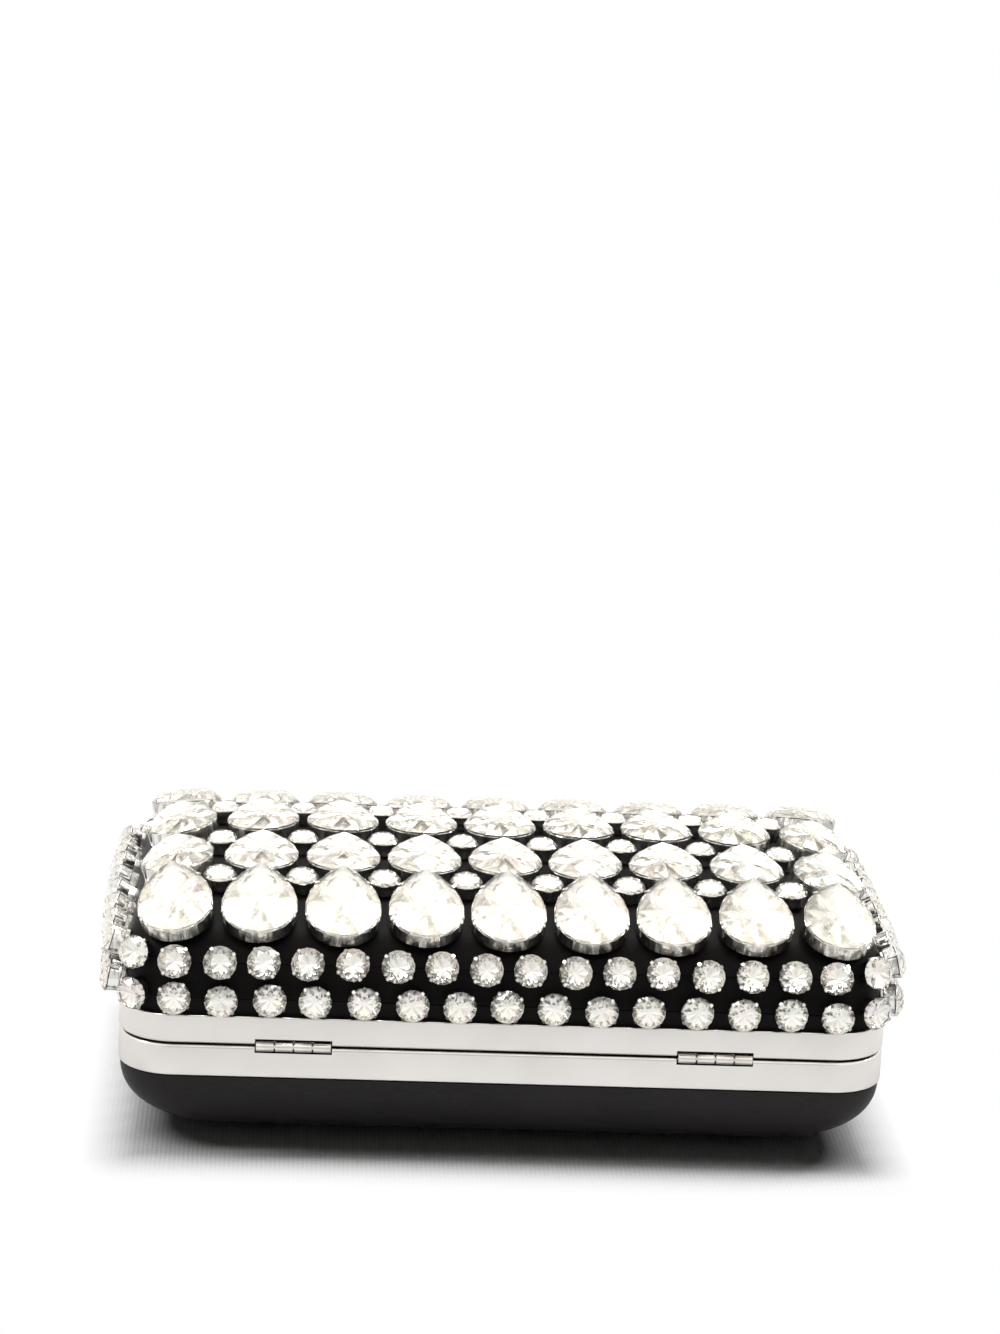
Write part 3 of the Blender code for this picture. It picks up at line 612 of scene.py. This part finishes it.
def makeBand(name, seam, edge, side):
    table = outlineTable(*band["outlineSteps"])
    inset, z = bandProfile(seam, edge, side)
    rings = frameRings(table, inset, z)
    piece = makePiece(name, [(rings, gridFaces(len(inset), table.shape[1], closeRows=True), 0)],
                      [nickel, recessShadeMaterial], steelSharp)
    middle, front, reach = clutch["seam"], -band["cutTo"], hinge["recessHalf"]
    for sign in (-1, 1):
        low = sign * hinge["offset"] - hingeBarrel / 2 - airGap
        high = sign * hinge["offset"] + hingeBarrel / 2 + airGap
        back = hinge["axisY"] + hinge["knuckleRadius"] + airGap + band["wall"]
        cutBox(piece, (low, front, middle - reach), (high, back, middle + reach))
        near = middle + side * hinge["leafSeamGap"]
        leafLow, leafHigh = sorted((near, near + side * hinge["leafThickness"]))
        cutBox(piece, (low, front, leafLow - airGap), (high, hinge["leafBack"] + airGap, leafHigh + airGap))
    if side < 0:
        halfX = clasp["capWidth"] / 2 + clasp["clearance"]
        halfZ = clasp["capHeight"] / 2 + clasp["clearance"]
        cutBox(piece, (-halfX, clasp["holeBack"], clasp["middle"] - halfZ),
               (halfX, band["cutTo"], clasp["middle"] + halfZ), halfZ * clasp["holeRoundShare"])
    smoothMesh(piece.data, band["sharpAngle"])
    # The recesses for the hinges get near-black painted shade inside
    count = len(piece.data.polygons)
    middles, slots = np.empty(count * 3), np.zeros(count, np.int32)
    piece.data.polygons.foreach_get("center", middles)
    x, y, z = middles.reshape(-1, 3).T / mm
    depth = y + clutch["halfDepth"]
    inside = np.abs(np.abs(x) - hinge["offset"]) < hingeBarrel / 2 + airGap + band["recessShadeSlack"]
    inside &= np.abs(z - middle) < reach + band["recessShadeSlack"]
    inside &= (depth < band["recessShadeDepth"]) & (depth > band["recessShadeEdge"])
    slots[inside] = 1
    piece.data.polygons.foreach_set("material_index", slots)
    return piece


baseBand = makeBand("baseBand", clutch["baseBandTop"], clutch["baseBandLow"], -1)
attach(baseBand, "base")
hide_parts("base_frame")
lidBand = makeBand("lidBand", clutch["lidBandLow"], clutch["lidBandTop"], 1)
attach(lidBand, "lid")
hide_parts("lid_frame")
print("bands ready")

# Shells and linings

shell = {
    "levels": 40, "outlineSteps": (16, 30, 18), "sharpAngle": 40,
    "wall": 2.0, "liningWall": 1.0,
    "baseShoulder": 18.7, "baseSetback": 0.4, "baseRound": 24.0, "crownShare": 0.93,
}
shellTable = outlineTable(*shell["outlineSteps"])


def baseRings(inward, setback=None):
    # Down from the mouth: a straight tongue, then a quarter ellipse in to the flat back
    a = np.linspace(0, np.pi / 2, shell["levels"] + 1)
    inset = clutch["tongueInset"] + inward
    own = inset if setback is None else setback
    step = own + (shell["baseRound"] - inward) * (1 - np.cos(a))
    z = shell["baseShoulder"] - (shell["baseShoulder"] - inward) * np.sin(a)
    halfX, halfY = clutch["halfWidth"] - step, clutch["halfDepth"] - step
    wall = outlineRings(shellTable, halfX, halfY, clutch["corner"] - own, z)
    top = clutch["baseBandTop"] - band["flangeThickness"] - airGap
    tongue = frameRings(shellTable, [inset, inset], [top, shell["baseShoulder"]])
    return np.concatenate([tongue, wall[1:] if setback is None else wall])


def lidRings(inward):
    # Up from the mouth: a straight tongue, then the two superellipses to a small flat crown
    a = np.linspace(0, np.pi / 2 * shell["crownShare"], shell["levels"] + 1)
    share = np.sin(a) ** (2 / clutch["sidePower"])
    z = clutch["lidBandTop"] + (clutch["lidRise"] - inward) * share
    wall = outlineRings(shellTable, *lidHalf(share, inward), z)
    top = clutch["lidBandLow"] + band["flangeThickness"] + airGap
    return np.concatenate([frameRings(shellTable, [clutch["tongueInset"] + inward], [top]), wall])


liningOut = shell["wall"] + airGap
liningIn = liningOut + shell["liningWall"]
trays = (
    ("baseCover", "base", "base_shell", litBaseSatin, "satin",
     baseRings(0, shell["baseSetback"]), baseRings(shell["wall"])),
    ("baseInside", "base", "base_lining", lining, "lining", baseRings(liningOut), baseRings(liningIn)),
    ("lidCover", "lid", "lid_shell", satin, "satin", lidRings(0), lidRings(shell["wall"])),
    ("lidInside", "lid", "lid_lining", lining, "lining", lidRings(liningOut), lidRings(liningIn)),
)
# Room for the clasp's housing and for the hook's foot
housingHalf = clasp["slideHalf"] + airGap + clasp["housingWall"]
aside = clasp["housingWall"] + airGap
hookHalf = clasp["hookWidth"] / 2 + airGap
pockets = {
    "base": ((-housingHalf - airGap, clasp["housingBack"] - aside, clasp["housingFloor"] - aside),
             (housingHalf + airGap, clutch["halfDepth"] - band["wall"], clutch["seam"])),
    "lid": ((-hookHalf, clasp["hookBack"] - airGap, clasp["hookFoot"] - clasp["hookThick"]),
            (hookHalf, clasp["hookBack"] + clasp["hookReach"] + airGap,
             clasp["hookFoot"] + clasp["hookThick"] + airGap)),
}
for name, body, node, material, slot, outer, inner in trays:
    # The inside from its middle out to the mouth, then the outside back to its middle
    rings = np.concatenate([inner[::-1], outer])
    tray = makePiece(name, [(rings, capped(*rings.shape[:2]), 0)], [material], shell["sharpAngle"])
    cutBox(tray, *pockets[body])
    smoothMesh(tray.data, shell["sharpAngle"])
    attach(tray, body)
    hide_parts(node)
print("shells ready")

# Hinges


def steelPiece(name, *shapes):
    return makePiece(name, shapes, [hingeSteel], steelSharp)


def turned(profile, sides, y, z):
    # Rings of (radius, x) round a line along X
    a = 2 * np.pi * np.arange(sides) / sides
    return np.array([np.stack([0 * a + x, y + r * np.cos(a), z + r * np.sin(a)], 1) for r, x in profile])


def tube(outer, inner, low, high, y, z, sides=32, edge=0.12):
    # A tube along X with small rounded ends: rings closed on themselves
    profile = [(inner, low), (outer - edge, low), (outer, low + edge),
               (outer, high - edge), (outer - edge, high), (inner, high)]
    return turned(profile, sides, y, z), gridFaces(len(profile), sides, closeRows=True), 0


def rod(radius, low, high, y, z, sides=24, tip=0.01, ease=0.2):
    profile = [(tip, low), (radius * (1 - ease), low), (radius, low + radius * ease),
               (radius, high - radius * ease), (radius * (1 - ease), high), (tip, high)]
    return turned(profile, sides, y, z), capped(len(profile), sides), 0


def plate(low, high, edge=0.08):
    # A box with its upright edges and rims eased: rings of a rectangle from bottom to top
    (x0, y0, z0), (x1, y1, z1) = low, high

    def ring(i, z):
        return [(x0 + i, y0 + i, z), (x1 - i, y0 + i, z), (x1 - i, y1 - i, z), (x0 + i, y1 - i, z)]

    rings = np.array([ring(edge, z0), ring(0, z0 + edge), ring(0, z1 - edge), ring(edge, z1)])
    return rings, capped(4, 4, -1), 0


for sign, side in ((-1, "left"), (1, "right")):
    start = sign * hinge["offset"] - hingeBarrel / 2
    pitch = hinge["knuckleLength"] + hinge["knuckleGap"]
    axis = hinge["axisY"], clutch["seam"]
    web = hinge["axisY"] + (hinge["boreRadius"] + hinge["knuckleRadius"]) / 2
    plateFront = hinge["axisY"] + hinge["knuckleRadius"] + airGap
    for up, body, own in ((-1, "base", (0, 2)), (1, "lid", (1, 3))):
        near = clutch["seam"] + up * hinge["leafSeamGap"]
        low, high = sorted((near, near + up * hinge["leafThickness"]))
        shapes = [plate((start, plateFront, low), (start + hingeBarrel, hinge["leafBack"], high))]
        for k in own:
            first, ease = start + k * pitch, hinge["webEase"]
            last = first + hinge["knuckleLength"]
            webHigh = last - ease, plateFront + hinge["webOverlap"], high
            shapes.append(plate((first + ease, web, low), webHigh, ease))
            shapes.append(tube(hinge["knuckleRadius"], hinge["boreRadius"], first, last, *axis))
        leaf = steelPiece("%sHinge_%sLeaf" % (side, body), *shapes)
        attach(leaf, body)
        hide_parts("hinge_%s_%s_leaf" % (side, body))
    pin = steelPiece("%sHinge_pin" % side, rod(hinge["pinRadius"], start, start + hingeBarrel, *axis))
    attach(pin, "base")
    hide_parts("hinge_%s_pin" % side)
print("hinges ready")

# Clasp: a pill of a button on a slide with a window, its housing and spring, and the lid's hook


def roundRing(half, low, high, radius, level, axis=2, steps=5):
    # A rectangle with round corners, counterclockwise, at a level along an axis
    a = np.linspace(0, np.pi / 2, steps)
    corners = []
    for quarter, (sx, sy) in enumerate(((1, 1), (-1, 1), (-1, -1), (1, -1))):
        x = sx * half - sx * radius + radius * np.cos(a + quarter * np.pi / 2)
        y = (high if sy > 0 else low) - sy * radius + radius * np.sin(a + quarter * np.pi / 2)
        corners.append(np.stack([x, y], 1))
    return np.insert(np.concatenate(corners), axis, level, 1)


def buttonShapes():
    # The slide: round its outside up, over, and down the window.
    # The cap: a pill with a soft rim and a shallow dish.
    c = clasp
    low, high, e = c["middle"] - c["slideThick"] / 2, c["middle"] + c["slideThick"] / 2, c["ease"]
    rings = [roundRing(c["slideHalf"] - i, c["slideBack"] + i, c["slideFront"] - i, c["slideRound"], z)
             for i, z in ((e, low), (0, low + e), (0, high - e), (e, high))]
    rings += [roundRing(c["windowHalf"] + i, c["windowBack"] - i, c["windowFront"] + i, c["windowRound"], z)
              for i, z in ((e, high), (0, high - e), (0, low + e), (e, low))]
    slide = np.array(rings), gridFaces(len(rings), len(rings[0]), closeRows=True), 0
    halfX, halfZ = c["capWidth"] / 2, c["capHeight"] / 2
    levels = [(0, c["slideFront"] - c["slideThick"] / 2)]
    levels += [(inset, c["capFront"] - depth) for inset, depth in c["capRim"]]
    rings = [roundRing(halfX - i, c["middle"] - halfZ + i, c["middle"] + halfZ - i, c["capRadius"] - i,
                       y, 1, c["capSteps"]) for i, y in levels]
    return [slide, (np.array(rings), capped(len(rings), len(rings[0])), 0)]


def hookShape():
    # A strip of steel seen from its side: nose with a lead-in, upright, round bend, foot
    c = clasp
    back, front = c["hookBack"], c["hookBack"] + c["hookThick"]
    foot, top = c["hookFoot"], c["hookFoot"] + c["hookThick"]
    noseFront, noseLow = c["hookNose"]
    slopeY, slopeZ = c["noseSlope"]
    noseHigh, r, e = noseLow + c["hookThick"], c["hookBend"], c["noseEase"]
    a = np.linspace(np.pi / 2, np.pi, c["hookSteps"])
    bend = np.stack([back + r + r * np.cos(a), top - r + r * np.sin(a)], 1)
    side = np.concatenate([
        [(back, noseLow + e), (back + e, noseLow), (noseFront - slopeY, noseLow), (noseFront, noseLow + slopeZ),
         (noseFront, noseHigh), (front, noseHigh), (front, foot), (back + c["hookReach"], foot),
         (back + c["hookReach"], top)], bend])
    ends = np.array([np.insert(side, 0, x, 1) for x in (-c["hookWidth"] / 2, c["hookWidth"] / 2)])
    return ends, capped(2, len(side)), 0


def springShape():
    # A coil along Y: small rings of points round a helix
    c = clasp
    steps, sides, wire = c["springSteps"], c["springSides"], c["springWire"]
    k = np.arange(c["springTurns"] * steps + 1)
    a = 2 * np.pi * k / steps
    y = np.linspace(c["springBack"] + wire, c["springFront"] - wire, len(k))
    radial = np.stack([np.cos(a), 0 * a, np.sin(a)], 1)
    centre = radial * c["springRadius"] + np.stack([0 * y, y, 0 * y + c["middle"]], 1)
    around = (2 * np.pi * np.arange(sides) / sides)[None, :, None]
    rings = centre[:, None] + wire * (np.cos(around) * radial[:, None] + np.sin(around) * np.array([0, 1, 0]))
    return rings, capped(len(k), sides), 0


c = clasp
low = (-housingHalf, c["housingBack"] - c["housingWall"], c["housingFloor"] - c["housingWall"])
housing = steelPiece("claspHousing", plate(low, (housingHalf, c["slideFront"], c["housingTop"])))
inner = housingHalf - c["housingWall"]
past = inner, c["slideFront"] + 1, c["housingTop"] + 1
cutBox(housing, (-inner, c["housingBack"], c["housingFloor"]), past)
hook = steelPiece("claspHook", hookShape())
ease = hook.modifiers.new("ease", "BEVEL")
ease.width, ease.segments = c["ease"] * mm, 2
ease.limit_method, ease.angle_limit = "ANGLE", math.radians(steelSharp)
applyModifiers(hook)
button = makePiece("claspButton", buttonShapes(), [nickel], steelSharp)
spring = steelPiece("claspSpring", springShape())
for piece in (housing, hook):
    smoothMesh(piece.data, steelSharp)
for piece, body, node, slot in ((housing, "base", "latch_housing", "hinge_metal"),
                                (hook, "lid", "latch_hook", "hinge_metal"),
                                (button, "button", "latch_button", "frame_metal"),
                                (spring, "base", "latch_spring", "hinge_metal")):
    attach(piece, body)
    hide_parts(node)
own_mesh(spring)
print("clasp ready")

# Pears

pearStone = {
    "facets": 8, "girdleLow": 3.8, "girdleHigh": 4.05, "top": 6.9, "tableShare": 0.56, "midShare": 0.80,
    "keelShare": 0.5, "keelHeight": 2.2, "culet": 1.4,
    "cup": ((0.95, 0), (0.97, 0.25), (0.975, 3.45), (0.96, 3.75), (0.93, 3.75), (0.92, 0.4)),
    "cupSides": 40, "claws": (0.16, 0.84, 0.36, 0.64),
    "clawPath": ((-0.35, 1.4), (-0.1, 3.4), (-0.02, 4.1), (-0.6, 4.6), (-1.0, 4.8)),
    "clawWidth": 0.9, "clawThickness": 0.22,
}


def atLevels(around, levels):
    # One outline at every (scale, height)
    return np.array([np.column_stack([around * share, np.full(len(around), z)]) for share, z in levels])


def cutStone(outline, s):
    # A brilliant: table, stars, kites and halves over the girdle, mains and halves under it.
    # A middle corner's height is that of the kites' planes there.
    facets, scale = s["facets"], s.get("radius", 1.0)
    i = np.arange(facets)
    n = 2 * facets

    def level(shares, share, z):
        return np.column_stack([outline(shares) * share * scale, np.full(len(shares), z)])

    fall = (s["midShare"] * math.cos(math.pi / facets) - s["tableShare"]) / (1 - s["tableShare"])
    points = np.concatenate([
        level(i / facets, s["tableShare"], s["top"]),
        level((i + 0.5) / facets, s["midShare"], s["top"] - (s["top"] - s["girdleHigh"]) * fall),
        level(np.arange(n) / n, 1, s["girdleHigh"]),
        level(np.arange(n) / n, 1, s["girdleLow"]),
        level((i + 0.5) / facets, s["keelShare"], s["keelHeight"]),
        [[0, 0, s["culet"]]],
    ])
    culet = len(points) - 1
    crown, back = [tuple(i)], []
    for k in range(facets):
        # Corners of the table, the middle, the girdle's upper and lower rim, and the keel
        before, after = (k - 1) % facets, (k + 1) % facets
        mid, midBefore, keel, keelBefore = facets + k, facets + before, 3 * n + k, 3 * n + before
        u0, u1, u2 = [n + g for g in (2 * k, 2 * k + 1, (2 * k + 2) % n)]
        l0, l1, l2 = u0 + n, u1 + n, u2 + n
        crown += [(k, mid, after), (k, midBefore, u0, mid), (mid, u0, u1), (mid, u1, u2)]
        back += [(l0, l1, u1, u0), (l1, l2, u2, u1),
                 (culet, keel, l0, keelBefore), (keel, l1, l0), (keel, l2, l1)]
    return points, crown, back


def unit(directions):
    return directions / np.linalg.norm(directions, axis=1)[:, None]


def bentStrip(at, out, path, width, thickness):
    # A claw: a rectangle carried along a path of (outward, up), at a place on the outline
    path = np.asarray(path, float)
    along = unit(np.gradient(path, axis=0))
    away = np.stack([along[:, 1], -along[:, 0]], 1)
    across = np.array([-out[1], out[0]])
    points = []
    for sideways, depth in ((-1, 1), (1, 1), (1, 0), (-1, 0)):
        level = path + away * thickness * depth
        flat = at + level[:, :1] * out + sideways * width / 2 * across
        points.append(np.column_stack([flat, level[:, 1]]))
    return np.stack(points, 1), capped(len(path), 4, -1)


def stoneShapes(outline, s, clawSeats):
    # A cut stone, and its setting: the cup and a claw at every (place, outward direction)
    stone, crown, back = cutStone(outline, s)
    sides = s["cupSides"]
    cup = atLevels(outline(np.arange(sides) / sides), s["cup"])
    setting = [(cup, capped(len(s["cup"]), sides, -1), 2)]
    for at, out in clawSeats:
        setting.append((*bentStrip(at, out, s["clawPath"], s["clawWidth"], s["clawThickness"]), 2))
    return [(stone, crown, 0), (stone, back, 1)], setting


def pearEdge(share, step=0.002):
    # A place on the pear's outline and the direction out of it
    at, ahead = pearOutline([share, share + step])
    out = np.array([(ahead - at)[1], -(ahead - at)[0]])
    return at, out / np.linalg.norm(out)


def placed(shapes, spin, shift):
    return [(np.asarray(p).reshape(-1, 3) @ spin.T + shift, f, slot) for p, f, slot in shapes]


pearCut, pearSetting = stoneShapes(pearOutline, pearStone, map(pearEdge, pearStone["claws"]))
for (row, column), (spin, shift) in pearPlaces.items():
    node = "pear_r%d_c%d" % (row + 1, column + 1)
    shapes = placed(pearCut + pearSetting, spin, shift)
    piece = makePiece("pearStone_r%d_c%d" % (row + 1, column + 1), shapes, [glass, pearFoil, cupSilver])
    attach(piece, "lid")
    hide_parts(node)
print("pears ready")

# Rounds

studStone = {
    "facets": 8, "radius": 4.05, "girdleLow": 3.1, "girdleHigh": 3.35, "top": 5.1, "tableShare": 0.56,
    "midShare": 0.80, "keelShare": 0.5, "keelHeight": 2.35, "culet": 2.0,
    "cup": ((3.0, 0), (3.5, 0.2), (3.85, 2.85), (3.6, 2.85), (2.9, 0.5)),
    "cupSides": 12, "claws": (0.125, 0.375, 0.625, 0.875),
    "clawPath": ((3.6, 0.8), (4.0, 2.6), (4.08, 3.5), (3.5, 4.0)),
    "clawWidth": 0.75, "clawThickness": 0.2,
    "collarRadius": 3.05, "collarFlute": 0.15, "collarSides": 16, "collarTop": 0.05,
    "wireRadius": 0.2,
}


def circle(share):
    a = 2 * np.pi * np.asarray(share, float)
    return np.stack([np.cos(a), np.sin(a)], -1)


def collarShape(depth):
    # A fluted ring between the cup and the cloth
    k = np.arange(studStone["collarSides"])
    radii = studStone["collarRadius"] + studStone["collarFlute"] * (-1) ** k
    rings = atLevels(circle(k / len(k)) * radii[:, None], ((1, -depth), (1, studStone["collarTop"])))
    return rings, capped(2, len(k), -1), 2


def wireTube(points, radius, closed, sides=6):
    # A thread through points: a small ring of sides across the path at each point
    points = np.asarray(points)
    along = unit(np.roll(points, -1, 0) - np.roll(points, 1, 0) if closed else np.gradient(points, axis=0))
    across = unit(np.cross(along, [0, 0, 1]))
    up = np.cross(across, along)
    a = (2 * np.pi * np.arange(sides) / sides)[None, :, None]
    rings = points[:, None] + radius * (np.cos(a) * across[:, None] + np.sin(a) * up[:, None])
    return rings, gridFaces(len(points), sides, closeRows=True) if closed else capped(len(points), sides), 3


clawSeats = [(np.zeros(2), circle(share)) for share in studStone["claws"]]
oneStone, oneSetting = stoneShapes(circle, studStone, clawSeats)
ringWire = [0, 0, stud["wireHeight"]]
strings = [("lowerRing", "round_ring_lower", lowerPlaces, ringWire),
           ("upperRing", "round_ring_upper", upperPlaces, ringWire)]
for k, (places, rowWire) in enumerate(zip(rowPlaces, rowWires), 1):
    strings.append(("roundRow%d" % k, "round_row_%d" % k, places, rowWire))
for name, node, places, spot in strings:
    shapes = []
    for spin, shift, collar in places:
        shapes += placed(oneStone, spin @ turn("Z", rng.uniform(0, 2 * math.pi)), shift)
        shapes += placed(oneSetting + ([collarShape(collar)] if collar else []), spin, shift)
    wire = [shift + spin @ spot for spin, shift, _ in places]
    shapes.append(wireTube(wire, studStone["wireRadius"], spot is ringWire))
    piece = makePiece(name, shapes, [glass, studFoil, cupSilver, thread])
    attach(piece, "lid")
    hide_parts(node)
print("rounds ready")

# Stage: lengths in metres, the weave's pitch in millimetres

studio = {
    # The weave's hollows get a darker colour: painted shade
    "floorHalf": 8.0, "floorColor": (0.95, 0.95, 0.945), "weaveHollowShade": (0.85, 0.85, 0.85),
    "weavePitch": 1.1, "weaveShares": (1, 0.85), "weaveWander": 2.5,
    "fadeTo": 0.0192, "fadeStart": (-0.005, 0.0026, 0), "fadeScale": (1.5, 1, 0),
    "world": 0.012, "skyColor": (1, 0.985, 0.965), "skyTop": 1.17, "skySide": 0.95, "skyDark": 0.65,
    "darkPlace": (-0.06, -0.93, 0.35),
    "lampPlace": (-0.05, 0.18, 1.38), "lampSize": (3.2, 0.19), "lampPower": 34.0,
}

# White plain weave with raised crossings and soft hollows, the hollows darker as painted shade; away from the
# clutch the camera sees plain white
whiteCloth, m = newMaterial("whiteCloth", {"Roughness": 0.9, "Sheen Weight": 0.1})
where = m.place()
wander = m.noise(90, 2) * studio["weaveWander"]
turns = 2 * math.pi / (studio["weavePitch"] * mm)
across, along = [(m.node("SeparateXYZ", {0: where}, out=k) * (turns * share) + wander).math("SINE")
                 for k, share in enumerate(studio["weaveShares"])]
weave = m.range(across * 0.55 + along * 0.45, 0, 1, -0.8, 0.8)
slow = m.noise(14, 2)
m.paint(m.mix(weave, studio["weaveHollowShade"], studio["floorColor"]),
        normal=m.bump(slow, 0.2, 0.004, m.bump(weave, 0.25, 0.0003)))
# Distance from the clutch's outline
half = Vector((clutch["halfWidth"], clutch["halfDepth"], 0)) * mm + Vector(studio["fadeStart"])
over = m.vector("SUBTRACT", m.vector("ABSOLUTE", where), half)
over = m.vector("MULTIPLY", m.vector("MAXIMUM", over, (0, 0, 0)), studio["fadeScale"])
fade = m.range(m.vector("LENGTH", over, out=1), 0, 1, 0, studio["fadeTo"])
white = m.node("Emission", {"Color": (1, 1, 1), "Strength": 1.0})
shader = Sock(m, m.tree.nodes["Principled BSDF"].outputs[0])
blend = m.node("MixShader", {0: fade * m.ray("Is Camera Ray"), 1: shader, 2: white})
m.feed(m.tree.nodes["Material Output"].inputs[0], blend)

reach = studio["floorHalf"] / mm
corners = (-reach, -reach, 0), (reach, -reach, 0), (reach, reach, 0), (-reach, reach, 0)
floor = makePiece("floor", [(corners, [(0, 1, 2, 3)], 0)], [whiteCloth])

world = bpy.data.worlds.new("studio")
world.use_nodes = True
bpy.context.scene.world = world
w = Maker(world.node_tree)
direction = w.node("TexCoord")
upward = w.node("SeparateXYZ", {0: direction}, out=2)
# Mirrors and glass see a bright ceiling, paler walls and the camera's dark side
behind = w.vector("DOT_PRODUCT", direction, studio["darkPlace"], out=1)
sky = w.range(upward, studio["skySide"], studio["skyTop"], 0.1, 0.75)
level = w.range(behind, 1.0, studio["skyDark"], 0.90, 0.97) * sky
direct = w.ray("Diffuse Depth").math("LESS_THAN", 0.5)
seen = (w.ray("Is Camera Ray") + w.ray("Is Glossy Ray") + w.ray("Is Transmission Ray")) * direct
plain = w.node("Background", {"Color": (1, 1, 1), "Strength": studio["world"]})
shown = w.node("Background", {"Color": studio["skyColor"], "Strength": level})
cameraOnly = w.node("Background", {"Color": (1, 1, 1), "Strength": 1.0})
first = w.node("MixShader", {0: seen, 1: plain, 2: shown})
second = w.node("MixShader", {0: w.ray("Is Camera Ray"), 1: first, 2: cameraOnly})
w.feed(world.node_tree.nodes["World Output"].inputs[0], second)

# One long lamp overhead, turned to the clutch
lamp = bpy.data.lights.new("overheadBox", "AREA")
lamp.shape, lamp.energy = "RECTANGLE", studio["lampPower"]
lamp.size, lamp.size_y = studio["lampSize"]
overhead = bpy.data.objects.new("overheadBox", lamp)
overhead.location = studio["lampPlace"]
overhead.rotation_euler = (-Vector(studio["lampPlace"])).to_track_quat("-Z", "Y").to_euler()
link(overhead)

view = {
    "place": (-0.05417, -0.90654, 0.33959),
    "yaw": 0.05686, "pitch": 0.24829, "roll": 0.04785, "lens": 101.15,
}
cosP = math.cos(view["pitch"])
ahead = Vector((math.sin(view["yaw"]) * cosP, math.cos(view["yaw"]) * cosP, -math.sin(view["pitch"])))
right = Vector((math.cos(view["yaw"]), -math.sin(view["yaw"]), 0))
above = right.cross(ahead)
rightTilted = right * math.cos(view["roll"]) + above * math.sin(view["roll"])
aboveTilted = above * math.cos(view["roll"]) - right * math.sin(view["roll"])
eye = bpy.data.cameras.new("camera")
eye.lens = view["lens"]
eye.sensor_width = 36
camera = bpy.data.objects.new("camera", eye)
facing = Matrix((rightTilted, aboveTilted, -ahead)).transposed().to_4x4()
camera.matrix_world = Matrix.Translation(view["place"]) @ facing
link(camera)
bpy.context.scene.camera = camera
bpy.context.scene.view_settings.view_transform = "Standard"
print("stage ready")
